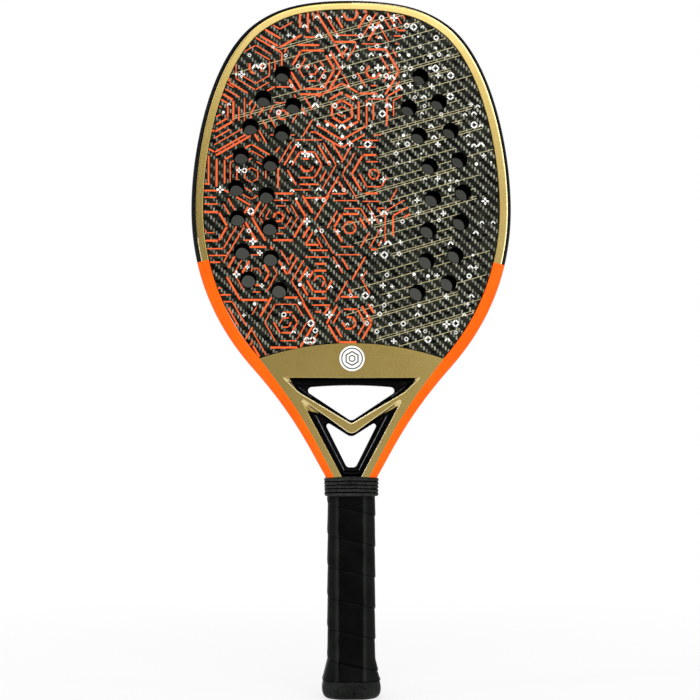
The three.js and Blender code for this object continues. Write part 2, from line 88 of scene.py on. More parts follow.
# Radii of their corners: top, bend and foot of the upper ones, tips and toes of the lower ones
UPPER_RADII = (2.5, 1, 4.0)
UPPER_RECESS_RADII = (0.7, 16, 3.0)
LOWER_RADII = (1.7, 3.2)
LOWER_RECESS_RADII = (1.3, 1.6)
NOTCH_RADIUS = 5
UPPER_BEND = 0.55
SWELL_DEPTH = 1.5
SWELL_SHARE = 1.25
YOKE_STEPS = 80

# Hoop section and its paint: widths (height, distance inwards from the outline)
INNER_INSETS = [
    (255, 8.3), (275, 8.4), (290, 8.6), (300, 8.65), (473, 8.55), (489, 8.0), (496.5, 7.4),
    (500, 7.3),
]
GOLD_INSETS = [(300, 3.05), (440, 3.1), (473, 3.3), (489, 2.8), (496.5, 2.4), (500, 2.35)]
ORANGE_INSETS = [
    (156, 5.2), (175, 5.8), (197, 6.3), (218, 6.9), (232, 7.8), (240, 8.5), (244, 8.85),
]
CORNER_WIDTH = 4.0
CORNER_DEPTH = 4.0
EDGE_ROLL = 0.3
FLAT_BORDER = 0.25
SHEET_GAP = 0.2
PAINT_CUTS = {-1: 309.3, 1: 307.9}
GOLD_LEAN = 0.35
LEAN_HALF = 40
ROLL_START = 0.06
ROLL_CUT = 0.3
HOOP_HIGHLIGHT_WIDTH = 0.7
HOOP_HIGHLIGHT_TOPS = {-1: 326.0, 1: 600.0}

# Drilled face
HEAD_HEIGHT = CROWN - YOKE_TOP
HOLE_RADIUS = 5.5
DRILL_TURN = math.radians(-0.85)
DRILL_PIVOT = YOKE_TOP + HEAD_HEIGHT * 0.787
HOLE_SHARES = [
    (0.432, 0.777), (0.549, 0.704), (0.626, 0.621), (0.682, 0.536),
    (0.708, 0.442), (0.696, 0.355), (0.664, 0.259), (0.623, 0.178),
    (0.362, 0.685), (0.428, 0.605), (0.497, 0.516), (0.519, 0.423),
    (0.494, 0.330), (0.486, 0.241), (0.429, 0.149),
]
SHEET_BACK = 10.11
CORE_HALF = 10.09

# Handle
PALLET = (14.95, 13.6)
GRIP_FOOT = 13.3
GRIP_TOP = 147.0
CAP_TOP = 28.0
CAP_FLARE = 3.4
TAPE_PITCH = 21.9
TAPE_SEAM = 18.6
COLLAR_FOOT = 143.0
COLLAR_TOP = 155.7
COLLAR_ARCH = 1.0
CLEARANCE = 0.3
RING = 96


# Meshes

def to_frame(point):
    """A point in millimetres above the butt end, in metres in the shared frame."""
    return (point[0] * MM, point[1] * MM, point[2] * MM + BUTT)


def between(a, b, share):
    return tuple(p + (q - p) * share for p, q in zip(a, b))


def turned(centre, arm, angle):
    """End of an arm from a centre, after a turn anticlockwise."""
    c, s = math.cos(angle), math.sin(angle)
    return (centre[0] + arm[0] * c - arm[1] * s, centre[1] + arm[0] * s + arm[1] * c)


def circle(centre, radius, sides, start=0.0):
    return [turned(centre, (radius, 0), 2 * math.pi * k / sides + start) for k in range(sides)]


class Shape:
    """Points and faces in millimetres, each face with the number of its material."""

    def __init__(self):
        self.points = []
        self.faces = []
        self.marks = []

    def add(self, points):
        """Adds points and returns their numbers."""
        start = len(self.points)
        self.points.extend(points)
        return list(range(start, len(self.points)))

    def add_outline(self, outline, depth):
        """Adds the points of an outline (x, height) at one depth."""
        return self.add([(x, depth, z) for x, z in outline])

    def face(self, numbers, mark=0):
        self.faces.append(tuple(numbers))
        self.marks.append(mark)

    def skin(self, rows, mark=0, closed=True):
        """Faces between neighbouring rows of point numbers."""
        for i, (low, high) in enumerate(zip(rows, rows[1:])):
            count = len(low)
            for j in range(count if closed else count - 1):
                k = (j + 1) % count
                chosen = mark(i, j) if callable(mark) else mark
                self.face((low[j], low[k], high[k], high[j]), chosen)

    def solid(self, rows, mark=0):
        """Skin over rows of point numbers, with a cap at each end."""
        self.skin(rows, mark)
        self.face(rows[0], mark)
        self.face(rows[-1], mark)

    def fill(self, loops, mark=0):
        """Flat faces inside the first loop of point numbers and outside the others."""
        flat = [[Vector((self.points[n][0], self.points[n][2], 0)) for n in loop] for loop in loops]
        numbers = [n for loop in loops for n in loop]
        for triangle in tessellate_polygon(flat):
            self.face([numbers[i] for i in triangle], mark)


def add_object(name, data):
    item = bpy.data.objects.new(name, data)
    bpy.context.scene.collection.objects.link(item)
    return item


def make_piece(name, shape, materials, replaces=(), sharp=32):
    """One object from a shape: outward faces, smooth up to the sharp angle, riding on the body."""
    mesh = bpy.data.meshes.new(name)
    mesh.from_pydata([to_frame(p) for p in shape.points], [], shape.faces)
    mesh.polygons.foreach_set("material_index", shape.marks)
    for material in materials:
        mesh.materials.append(material)
    work = bmesh.new()
    work.from_mesh(mesh)
    bmesh.ops.remove_doubles(work, verts=work.verts, dist=WELD)
    bmesh.ops.dissolve_degenerate(work, edges=work.edges, dist=WELD / 2)
    bmesh.ops.recalc_face_normals(work, faces=work.faces)
    work.to_mesh(mesh)
    work.free()
    mesh.polygons.foreach_set("use_smooth", [True] * len(mesh.polygons))
    mesh.set_sharp_from_angle(angle=math.radians(sharp))
    piece = add_object(name, mesh)
    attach(piece, "root")
    if replaces:
        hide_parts(*replaces)
    return piece


# Outline

def heading(point, angle, length):
    """The point at a length from another, along an angle from the upright in degrees."""
    turn = math.radians(angle)
    return point + Vector((math.sin(turn), math.cos(turn))) * length


def outline_curves():
    """Right half of the outline, from the leg's foot up to the crown, as cubic curves."""
    foot = Vector((LEG_HALF, LEG_FOOT))
    leg = Vector((LEG_HALF, LEG_BEND[0]))
    neck = Vector((NECK_HALF, LEG_BEND[1]))
    throat = Vector((THROAT_HALF, THROAT_HEIGHT))
    side = Vector((HEAD_HALF, WIDEST))
    shoulder = Vector((HEAD_HALF * 0.6025, WIDEST + UPPER_HEAD * 0.8886))
    crown = Vector((0, CROWN))
    bend = neck.y - leg.y
    lower = throat.y - neck.y
    upper = side.y - throat.y
    return [
        (foot, foot.lerp(leg, 1 / 3), foot.lerp(leg, 2 / 3), leg),
        (leg, heading(leg, 0, bend * 0.2), heading(neck, 29.5, -bend * 0.45), neck),
        (neck, heading(neck, 29.5, lower * 0.2843), heading(throat, 41.6, -lower * 0.599), throat),
        (throat, heading(throat, 41.6, upper * 0.385), heading(side, 0, -upper * 0.3753), side),
        (side, heading(side, 0, UPPER_HEAD * 0.2989),
         heading(shoulder, -54.3, -UPPER_HEAD * 0.2576), shoulder),
        (shoulder, heading(shoulder, -54.3, UPPER_HEAD * 0.1143),
         Vector((HEAD_HALF * 0.33, CROWN)), crown),
    ]


CURVES = outline_curves()


def outline_at(place):
    """Point and outward direction; whole numbers are the joints of the curves."""
    index = min(int(place), len(CURVES) - 1)
    share = place - index
    rest = 1 - share
    a, b, c, d = CURVES[index]
    inner = b * (3 * rest ** 2 * share) + c * (3 * rest * share ** 2)
    point = a * rest ** 3 + inner + d * share ** 3
    tangent = (b - a) * rest ** 2 + (c - b) * (2 * rest * share) + (d - c) * share ** 2
    tangent.normalize()
    return point, Vector((tangent.y, -tangent.x))


def inset_at(place, inset):
    point, out = outline_at(place)
    return point - out * inset


def place_where(test, low, high):
    """The place between two others from which on a test holds."""
    for _ in range(50):
        middle = (low + high) / 2
        if test(middle):
            high = middle
        else:
            low = middle
    return high


def half_width(height, inset):
    place = place_where(lambda p: inset_at(p, inset).y > height, 0, 4)
    return inset_at(place, inset).x


def blend_line(value, knots):
    """Value between knots (place, value), which rise in place."""
    for (a, low), (b, high) in zip(knots, knots[1:]):
        if value <= b:
            return low + (high - low) * min(max((value - a) / (b - a), 0), 1)
    return knots[-1][1]


def inner_inset(place):
    """Width of the hoop seen face on."""
    return blend_line(outline_at(place)[0].y, INNER_INSETS)


def inner_point(place, gap=0.0):
    return inset_at(place, inner_inset(place) + gap)


ARC_CENTRE = Vector((0, YOKE_TOP - YOKE_RADIUS))
FOOT_PLACE = place_where(lambda p: outline_at(p)[0].y > LEG_BEND[0] + 0.3, 0, 2)
ARC_PLACE = place_where(lambda p: (inner_point(p) - ARC_CENTRE).length > YOKE_RADIUS, 2, 4)
CUT_PLACES = {
    side: place_where(lambda p: outline_at(p)[0].y > cut, 3, 4) for side, cut in PAINT_CUTS.items()
}
STEPS = (4, 18, 56, 84, 96, 56)
PLACES = sorted(
    {i + k / steps for i, steps in enumerate(STEPS) for k in range(steps)}
    | {6.0, FOOT_PLACE, ARC_PLACE, *CUT_PLACES.values()})
STATIONS = [(p, 1) for p in PLACES] + [(p, -1) for p in PLACES[-2::-1]]


def inner_line(places, gap=0.0):
    """Points (x, height) along the right half of the hoop's inner edge."""
    return [tuple(inner_point(place, gap)) for place in places]


def mirrored(line):
    """The same line on the left, in the opposite order."""
    return [(-x, z) for x, z in line[::-1]]


def yoke_arc(end, radius, way):
    """Points along the yoke's arc between an end on the right and its mirror image: towards
    the left (1), or back from there (-1)."""
    half = math.atan2(end[0], end[1] - ARC_CENTRE.y)
    points = []
    for k in range(1, YOKE_STEPS):
        angle = half * way * (1 - 2 * k / YOKE_STEPS)
        points.append((radius * math.sin(angle), ARC_CENTRE.y + radius * math.cos(angle)))
    return points


# Hoop and throat in one seamless moulding

def smooth_step(value, low, high):
    share = min(max((value - low) / (high - low), 0), 1)
    return share * share * (3 - 2 * share)


def corner_depth(inset):
    """Depth of the hoop's face at a distance inwards from the outline."""
    if inset >= CORNER_WIDTH:
        return HALF_DEPTH
    across = (CORNER_WIDTH - inset) / CORNER_WIDTH
    return HALF_DEPTH - CORNER_DEPTH * (1 - math.sqrt(max(0, 1 - across * across)))


GOLD, BLACK, ORANGE, RECESS, GOLD_HIGHLIGHT, LIP_HIGHLIGHT = range(6)
CORNER_COLUMNS = 9


def hoop_columns(place, side):
    """Front half of the hoop's section: (inset, depth) from the inner edge to the side wall."""
    across, height = outline_at(place)[0]
    inner = inner_inset(place)
    roll = EDGE_ROLL * smooth_step(place, ARC_PLACE, ARC_PLACE + ROLL_START)
    orange = min(blend_line(height, ORANGE_INSETS), inner - roll - 1.1 * FLAT_BORDER)
    lean = GOLD_LEAN * min(across / LEAN_HALF, 1)
    gold = blend_line(height, GOLD_INSETS) - side * lean
    columns = [
        (inner, HALF_DEPTH - roll),
        (inner - roll * ROLL_CUT, HALF_DEPTH - roll * ROLL_CUT),
        (inner - roll, HALF_DEPTH),
        (inner - roll - FLAT_BORDER, HALF_DEPTH),
        (orange, HALF_DEPTH),
        (CORNER_WIDTH + FLAT_BORDER, HALF_DEPTH),
        (CORNER_WIDTH, HALF_DEPTH),
        (gold + HOOP_HIGHLIGHT_WIDTH, corner_depth(gold + HOOP_HIGHLIGHT_WIDTH)),
        (gold, corner_depth(gold)),
    ]
    start = math.asin(1 - gold / CORNER_WIDTH)
    for k in range(1, CORNER_COLUMNS + 1):
        turn = start + (math.pi / 2 - start) * k / CORNER_COLUMNS
        columns.append((
            CORNER_WIDTH * (1 - math.sin(turn)),
            HALF_DEPTH - CORNER_DEPTH * (1 - math.cos(turn)),
        ))
    columns.append((0, (HALF_DEPTH - CORNER_DEPTH) / 2))
    return columns


ORANGE_COLUMN = 4
GOLD_COLUMN = 8
COLUMNS = GOLD_COLUMN + CORNER_COLUMNS + 2


def hoop_paint(place, side, column):
    """Paint of the faces between a column and the next one."""
    column = min(column, 2 * COLUMNS - 2 - column)
    if place > CUT_PLACES[side]:
        # Below its top, the column beside the black edge takes the pale painted highlight.
        if column == GOLD_COLUMN - 1 and outline_at(place)[0].y < HOOP_HIGHLIGHT_TOPS[side]:
            return GOLD_HIGHLIGHT
        return GOLD if column < GOLD_COLUMN else BLACK
    return GOLD if column < ORANGE_COLUMN and place < ARC_PLACE else ORANGE


def add_hoop(shape):
    """Hoop and legs: a ring of points at each place of the outline, open along the throat."""
    rows = []
    for place, side in STATIONS:
        point, out = outline_at(place)
        columns = hoop_columns(place, side)
        ring = []
        for sign, part in ((-1, columns), (1, columns[::-1])):
            for inset, depth in part:
                ring.append((
                    (point.x - out.x * inset) * side,
                    sign * depth,
                    point.y - out.y * inset,
                ))
        rows.append(shape.add(ring))
    for (start, _), (end, side), low, high in zip(STATIONS, STATIONS[1:], rows, rows[1:]):
        middle = (start + end) / 2
        for j in range(len(low) - 1):
            shape.face((low[j], low[j + 1], high[j + 1], high[j]), hoop_paint(middle, side, j))
        if middle > ARC_PLACE or middle < FOOT_PLACE:
            shape.face((low[-1], low[0], high[0], high[-1]), hoop_paint(middle, side, 0))
    shape.face(rows[0], BLACK)
    shape.face(rows[-1], BLACK)


def rounded(corners, radii, edge_steps, corner_steps):
    """Closed outline with rounded corners, with as many points for any radii."""
    arcs = []
    for i, corner in enumerate(corners):
        here = Vector(corner)
        before = (Vector(corners[i - 1]) - here).normalized()
        after = (Vector(corners[(i + 1) % len(corners)]) - here).normalized()
        half = before.angle(after) / 2
        reach = radii[i] / math.tan(half)
        centre = here + (before + after).normalized() * (radii[i] / math.sin(half))
        start = here + before * reach - centre
        end = here + after * reach - centre
        turn = start.angle_signed(end)
        arc = []
        for k in range(corner_steps + 1):
            arc.append(turned(centre, start, -turn * k / corner_steps))
        arcs.append(arc)
    points = []
    for i, arc in enumerate(arcs):
        points.extend(arc)
        following = arcs[(i + 1) % len(arcs)]
        for k in range(1, edge_steps):
            points.append(between(arc[-1], following[0], k / edge_steps))
    return points


EDGE_STEPS = 14
ARC_STEPS = 8


def edge_columns(corner):
    """Numbers of an outline's faces on the straight edge after one of its corners."""
    first = corner * (EDGE_STEPS + ARC_STEPS) + ARC_STEPS
    return range(first, first + EDGE_STEPS)


def inset_outline(corners, radii, gap):
    """Rounded outline, listed anticlockwise, with every edge moved inwards by a gap."""
    moved = []
    fitted = []
    for i, corner in enumerate(corners):
        here = Vector(corner)
        arriving = (here - Vector(corners[i - 1])).normalized()
        leaving = (Vector(corners[(i + 1) % len(corners)]) - here).normalized()
        inward = Vector((-arriving.y - leaving.y, arriving.x + leaving.x))
        moved.append(here + inward * (gap / (1 + arriving.dot(leaving))))
        turn = math.copysign(1, arriving.x * leaving.y - arriving.y * leaving.x)
        fitted.append(max(radii[i] - gap * turn, 0.05))
    return rounded(moved, fitted, EDGE_STEPS, ARC_STEPS)


def swell_top(outline, top, half, lift, power):
    """Bends the top edge of an outline up or down, most of all in the middle."""
    bent = []
    for x, z in outline:
        near_top = smooth_step(z, top - SWELL_DEPTH, top)
        share = max(0, 1 - abs(x / half * SWELL_SHARE) ** power)
        bent.append((x, z + lift * near_top * share))
    return bent


def upper_outline(half, top, side, slope, foot, radii, gap):
    """Outline above the V strut, which bends up along the leg at its corners."""
    corners = [(half, top), (-half, top), (-side, foot + slope * side), (0, foot),
               (side, foot + slope * side)]
    corner, bend, toe = radii
    return inset_outline(corners, [corner, corner, bend, toe, bend], gap)


def lower_outline(corner, notch, foot, radii, gap):
    """Outline below the V strut."""
    corners = [corner, (0, notch), (-corner[0], corner[1]), (-foot[0], foot[1]), foot]
    tip, toe = radii
    return inset_outline(corners, [tip, NOTCH_RADIUS, tip, toe, toe], gap)


def upper_recess(gap):
    half, top = UPPER_RECESS_CORNER
    outline = upper_outline(half, top, UPPER_RECESS_BEND, STRUT_SLOPE, UPPER_RECESS_FOOT,
                            UPPER_RECESS_RADII, gap)
    return swell_top(outline, top - gap, half, -UPPER_RECESS_SAG, 10)


def upper_opening():
    half = (UPPER_TOP - UPPER_FOOT) / UPPER_SLOPE
    outline = upper_outline(half, UPPER_TOP, half * UPPER_BEND, UPPER_SLOPE, UPPER_FOOT,
                            UPPER_RADII, 0)
    return swell_top(outline, UPPER_TOP, half, UPPER_BULGE, 2)


def lower_recess(gap):
    return lower_outline(LOWER_RECESS_CORNER, LOWER_RECESS_NOTCH, LOWER_RECESS_FOOT,
                         LOWER_RECESS_RADII, gap)


def lower_opening():
    return lower_outline(LOWER_CORNER, LOWER_NOTCH, LOWER_FOOT, LOWER_RADII, 0)


# Section of a recess from its edge inwards: first the rolled edge (inset, depth), then the wall,
# a groove and the lip round the opening (share of the way, depth)
EDGE_LEVELS = [
    (-FLAT_BORDER, 11.0), (0.0, 11.0), (0.2, 10.95), (0.38, 10.8), (0.52, 10.55), (0.62, 10.2),
]
LIP_LEVELS = [
    (0.05, 9.3), (0.12, 8.2), (0.19, 7.2), (0.26, 6.45), (0.33, 5.95), (0.4, 5.7), (0.46, 5.62),
    (0.5, 5.65), (0.515, 5.68), (0.54, 5.78), (0.57, 5.9), (0.595, 6.0), (0.62, 6.06),
    (0.68, 6.1), (0.76, 6.02), (0.84, 5.8), (0.91, 5.4), (0.96, 4.9), (0.99, 4.4), (1.0, LAND),
]

# Rows of faces: those before the first take a pale painted highlight where they are gold, and
# the others are the part of the lip that carries a painted highlight
HIGHLIGHT_TIP_LEVEL = len(EDGE_LEVELS) + 2
LIP_HIGHLIGHT_LEVELS = range(len(EDGE_LEVELS) + 8, len(EDGE_LEVELS) + 11)


def add_split_face(shape, numbers, past, marks, cut_points):
    """A face that changes its paint along the line where past() changes its sign."""
    kept, gone = [], []
    for a, b in zip(numbers, numbers[1:] + numbers[:1]):
        here, there = past(shape.points[a]), past(shape.points[b])
        (gone if here > 0 else kept).append(a)
        if (here > 0) != (there > 0):
            key = (min(a, b), max(a, b))
            if key not in cut_points:
                point = between(shape.points[a], shape.points[b], here / (here - there))
                cut_points[key] = shape.add([point])[0]
            kept.append(cut_points[key])
            gone.append(cut_points[key])
    for part, mark in zip((kept, gone), marks):
        if len(part) > 2:
            shape.face(part, mark)


def add_opening(shape, recess, opening, cuts, lip_highlighted, unhighlighted):
    """Recess walls and land of one opening; returns its edge loops on both faces.
    Each cut is a point (x, height) and a direction past which the paint is gold. The lip carries a
    painted highlight on the edges after the lip_highlighted corners, and the rolled edge a pale
    painted highlight except after the unhighlighted ones."""
    inner = opening()
    section = [(recess(inset), depth) for inset, depth in EDGE_LEVELS]
    edge = section[-1][0]
    for share, depth in LIP_LEVELS:
        section.append(([between(a, b, share) for a, b in zip(edge, inner)], depth))
    rows = []
    for sign, part in ((-1, section), (1, section[::-1])):
        for outline, depth in part:
            rows.append(shape.add_outline(outline, sign * depth))

    def past(point):
        x, _, z = point
        (cut_x, cut_z), (across, up) = cuts[x > 0]
        return (abs(x) - cut_x) * across + (z - cut_z) * up

    last = len(rows) - 2
    cut_points = {}
    for level, (low, high) in enumerate(zip(rows, rows[1:])):
        depth = min(level, last - level)
        count = len(low)
        for j in range(count):
            k = (j + 1) % count
            if depth == 0:
                marks = (GOLD, GOLD)
            # Rolled edges and gold tips past a cut take the pale painted highlight, and a band of
            # the lip a painted highlight.
            elif depth < len(EDGE_LEVELS) - 1:
                plain = any(j in edge_columns(n) for n in unhighlighted)
                marks = (GOLD, GOLD) if plain else (GOLD_HIGHLIGHT, GOLD_HIGHLIGHT)
            elif depth < HIGHLIGHT_TIP_LEVEL:
                marks = (RECESS, GOLD_HIGHLIGHT)
            elif depth in LIP_HIGHLIGHT_LEVELS and any(j in edge_columns(n) for n in lip_highlighted):
                marks = (LIP_HIGHLIGHT, GOLD)
            else:
                marks = (RECESS, GOLD)
            add_split_face(shape, [low[j], low[k], high[k], high[j]], past, marks, cut_points)
    return rows[0], rows[-1]


# Where the black paint of a recess ends, left and right: a point and the way into the gold
UPPER_CUTS = [((44.4, 226.6), (0.86, -0.52)), ((46.2, 227.2), (0.88, -0.47))]
LOWER_CUTS = [((31.0, 203.7), (-0.24, 0.97)), ((35.8, 208.3), (-0.468, 0.884))]


def add_throat(shape):
    """Front and back of the throat from the legs' feet to the yoke's arc, with its openings."""
    right = inner_line([p for p in PLACES if FOOT_PLACE <= p <= ARC_PLACE])
    arc = yoke_arc(right[-1], YOKE_RADIUS, 1)
    loop = right + arc + mirrored(right)
    upper = add_opening(shape, upper_recess, upper_opening, UPPER_CUTS, (1, 4), (0,))
    lower = add_opening(shape, lower_recess, lower_opening, LOWER_CUTS, (2, 4), (2,))
    outers = []
    for depth, upper_edge, lower_edge in zip((-HALF_DEPTH, HALF_DEPTH), upper, lower):
        outer = shape.add_outline(loop, depth)
        shape.fill([outer, upper_edge, lower_edge], GOLD)
        outers.append(outer)
    first = len(right) - 1
    last = first + len(arc) + 1
    shape.skin([outer[first:last + 1] for outer in outers], GOLD, closed=False)
    front, back = outers
    shape.face((front[-1], front[0], back[0], back[-1]), GOLD)


# Face

def hole_centres():
    """Centres of the holes, mirrored and then turned a little round a pivot."""
    pivot = Vector((0, DRILL_PIVOT))
    centres = []
    for across, up in HOLE_SHARES:
        for side in (-1, 1):
            arm = Vector((side * HEAD_HALF * across, YOKE_TOP + HEAD_HEIGHT * up)) - pivot
            centres.append(turned(pivot, arm, DRILL_TURN))
    return centres


HOLES = hole_centres()
HOLE_SIDES = 48
SHORTEST_STEP = 0.002


def face_outline(gap):
    """Outline of the face inside the hoop and above the yoke's arc, with a gap to both."""
    radius = YOKE_RADIUS + gap
    start = place_where(lambda p: (inner_point(p, gap) - ARC_CENTRE).length > radius, 2, 4)
    right = inner_line([start] + [p for p in PLACES if p > start + SHORTEST_STEP], gap)
    return right + mirrored(right[:-1]) + yoke_arc(right[0], radius, -1)


def face_layer(levels, mark_walls):
    """Closed plate with the drilled holes. Levels are (y, gap to the hoop, hole radius)."""
    shape = Shape()
    edges = [shape.add_outline(face_outline(gap), y) for y, gap, _ in levels]
    shape.skin(edges, mark_walls)
    loops = [[edges[0]], [edges[-1]]]
    for centre in HOLES:
        rows = []
        for y, _, radius in levels:
            rows.append(shape.add_outline(circle(centre, radius, HOLE_SIDES), y))
        shape.skin(rows, mark_walls)
        loops[0].append(rows[0])
        loops[1].append(rows[-1])
    shape.fill(loops[0], 0)
    shape.fill(loops[1], 0)
    return shape


# From the outer side inwards: depth, gap to the hoop and how far the holes are opened up
SHEET_LEVELS = [
    (HALF_DEPTH, 0.6, 0.47), (HALF_DEPTH, 0.35, 0.22), (10.95, 0.26, 0.1), (10.8, SHEET_GAP, 0.02),
    (SHEET_BACK, SHEET_GAP, 0),
]
CORE_LEVELS = [(y, SHEET_GAP, HOLE_RADIUS) for y in (-CORE_HALF, CORE_HALF)]


def sheet_levels(sign):
    return [(sign * y, gap, HOLE_RADIUS + wider) for y, gap, wider in SHEET_LEVELS]


# Printed marks on the face: thin raised strokes, kept off the holes and the edge

PRINT_RISE = 0.05
PRINT_MARGIN = 0.35
STROKE_STEP = 0.5
FACE_POLYGON = face_outline(SHEET_GAP + 0.5)


def inside_face(x, z):
    inside = False
    previous = FACE_POLYGON[-1]
    for point in FACE_POLYGON:
        if (point[1] > z) != (previous[1] > z):
            share = (z - point[1]) * (previous[0] - point[0]) / (previous[1] - point[1])
            inside ^= x < point[0] + share
        previous = point
    return inside


def printable(x, z, margin):
    """Whether a place is on the face and clear of its holes by a margin."""
    reach = HOLE_RADIUS + PRINT_MARGIN + margin
    return inside_face(x, z) and all(
        (x - a) ** 2 + (z - b) ** 2 > reach * reach for a, b in HOLES)


def runs_along(a, b, count, test):
    """The unbroken runs of points that pass a test, of those sampled along a line."""
    runs = [[]]
    for k in range(count + 1):
        point = between(a, b, k / count)
        if test(*point):
            runs[-1].append(point)
        elif runs[-1]:
            runs.append([])
    return [run for run in runs if run]


def add_stroke(shape, a, b, width, y):
    """One straight stroke, broken where it would leave the face or cross a hole."""
    count = max(2, int(math.dist(a, b) / STROKE_STEP))
    for run in runs_along(a, b, count, lambda x, z: printable(x, z, width / 2)):
        if len(run) > 2:
            add_bar(shape, run[0], run[-1], width, y)


def add_bar(shape, a, b, width, y, mark=0):
    """A flat bar with rounded ends, a little proud of the sheet."""
    angle = math.atan2(b[1] - a[1], b[0] - a[0])
    outline = []
    for end, turn in ((b, angle - math.pi / 2), (a, angle + math.pi / 2)):
        outline += [turned(end, (width / 2, 0), turn + math.pi * k / 4) for k in range(5)]
    add_patch(shape, outline, y, mark)


def add_loop(shape, corners, width, y, mark=0):
    """Bars from each corner to the next, and back to the first."""
    for a, b in zip(corners, corners[1:] + corners[:1]):
        add_bar(shape, a, b, width, y, mark)


def add_patch(shape, outline, y, mark=0):
    """A thin closed patch with a convex outline, from the sheet to its own height."""
    depths = (math.copysign(HALF_DEPTH, y), y)
    shape.solid([shape.add_outline(outline, depth) for depth in depths], mark)


# Orange motif: hexagons round seeds on a staggered grid. Each side may be left out or cut short.
SEED_ROWS = 7
SEED_COLUMNS = 4
SEED_START = (-96, 262)
SEED_STEP = (46, 38)
LARGEST_HEXAGON = 40
GAP_CHANCE = 0.16
CUT_CHANCE = 0.35
CLIP_STEPS = 40
SHORTEST_STROKE = 2.2


def orange_motif(y, side):
    """Nested broken hexagons, which fill the left part of the face seen from the front."""
    draw = random.Random(5)
    shape = Shape()
    seeds = []
    for row in range(SEED_ROWS):
        for column in range(SEED_COLUMNS):
            seeds.append((
                SEED_START[0] + (column + row % 2 / 2) * SEED_STEP[0] + draw.uniform(-5, 5),
                SEED_START[1] + row * SEED_STEP[1] + draw.uniform(-5, 5),
            ))
    for seed in seeds:
        turn = math.radians(draw.choice((0, 30)))
        radius = draw.uniform(3.5, 5.5)
        while radius < LARGEST_HEXAGON:
            width = draw.choice((0.7, 0.9, 1.1, 1.4))
            corners = circle(seed, radius, 6, turn)
            for a, b in zip(corners, corners[1:] + corners[:1]):
                if draw.random() < GAP_CHANCE:
                    continue
                low = draw.uniform(0.1, 0.4) if draw.random() < CUT_CHANCE else 0.0
                high = draw.uniform(0.6, 0.9) if draw.random() < CUT_CHANCE else 1.0
                for ends in motif_runs(seeds, seed, between(a, b, low), between(a, b, high)):
                    add_stroke(shape, *[(x * side, z) for x, z in ends], width, y)
            radius += draw.choice((4.6, 5.6, 6.6))
    return shape


# Right-hand limit of the orange motif: its x at the foot, the heights between which it steps
# outwards and how far, and its waves (size, length) from a height on
MOTIF_EDGE = 9
MOTIF_STEP = (305, 345)
MOTIF_STEP_OUT = 25
MOTIF_WAVES = ((10, 31), (7, 12.5))
MOTIF_WAVE_FOOT = 250


def motif_edge(z):
    """Right-hand limit of the orange motif at a height."""
    rise = smooth_step(z, *MOTIF_STEP)
    wave = sum(size * math.sin((z - MOTIF_WAVE_FOOT) / length) for size, length in MOTIF_WAVES)
    return MOTIF_EDGE + MOTIF_STEP_OUT * rise + wave * (1 + rise) / 2


def motif_runs(seeds, own, a, b):
    """Ends of the parts of a line that are nearest to its own seed and inside the motif."""
    def inside(x, z):
        near = min(seeds, key=lambda seed: (x - seed[0]) ** 2 + (z - seed[1]) ** 2)
        return near == own and x < motif_edge(z)

    ends = [(run[0], run[-1]) for run in runs_along(a, b, CLIP_STEPS, inside)]
    return [pair for pair in ends if math.dist(*pair) > SHORTEST_STROKE]


def add_mark(shape, kind, x, z, size, y):
    """One small mark: a plus, a diamond, a chevron or a dot."""
    stroke = size * 0.3
    half = size / 2
    if kind == "plus":
        add_bar(shape, (x - half, z), (x + half, z), stroke, y)
        add_bar(shape, (x, z - half), (x, z + half), stroke, y)
    elif kind == "diamond":
        reach = size * 0.6
        tips = [(x + reach, z), (x, z + reach), (x - reach, z), (x, z - reach)]
        add_loop(shape, tips, stroke * 0.8, y)
    elif kind == "chevron":
        tip = (x, z + size / 3)
        add_bar(shape, (x - half, z - size / 3), tip, stroke, y)
        add_bar(shape, tip, (x + half, z - size / 3), stroke, y)
    else:
        add_patch(shape, circle((x, z), stroke, 8), y)


def mark_fits(x, z, size):
    rim = circle((x, z), size * 0.75, 8)
    return printable(x, z, size * 0.8) and all(inside_face(*point) for point in rim)


# Chance of a mark on the left and on the right, and what is added at the top and lower right
MARK_CHANCES = {"left": 0.16, "right": 0.34, "top": 0.34, "lower right": -0.12}


def mark_chance(x, z):
    chance = MARK_CHANCES["right" if x > 10 else "left"]
    if z > 440:
        chance += MARK_CHANCES["top"]
    if x > 20 and z < 300:
        chance += MARK_CHANCES["lower right"]
    return chance


MARKS_FROM = (-106, 254.0)
MARKS_TO = (108, 496)


def white_motif(y, side):
    """Rows of small white marks over the whole face."""
    draw = random.Random(23)
    shape = Shape()
    z = MARKS_FROM[1]
    while z < MARKS_TO[1]:
        x = MARKS_FROM[0] + draw.uniform(0, 6)
        while x < MARKS_TO[0]:
            size = draw.choice((2.2, 2.6, 3.2, 4.2))
            kind = draw.choice(("plus", "diamond", "chevron", "dot"))
            place = (x * side, z + draw.uniform(-0.8, 0.8))
            if draw.random() < mark_chance(x, z) and mark_fits(*place, size):
                add_mark(shape, kind, *place, size, y)
            x += draw.choice((4.0, 5.0, 6.5, 9.0))
        z += draw.choice((6.0, 7.5, 9.0))
    return shape


HAIR_FOOT = 240
HAIR_PITCH = 8.2
HAIR_SLOPE = math.tan(math.radians(30)) / 2
HAIR_PAIR = 1.7


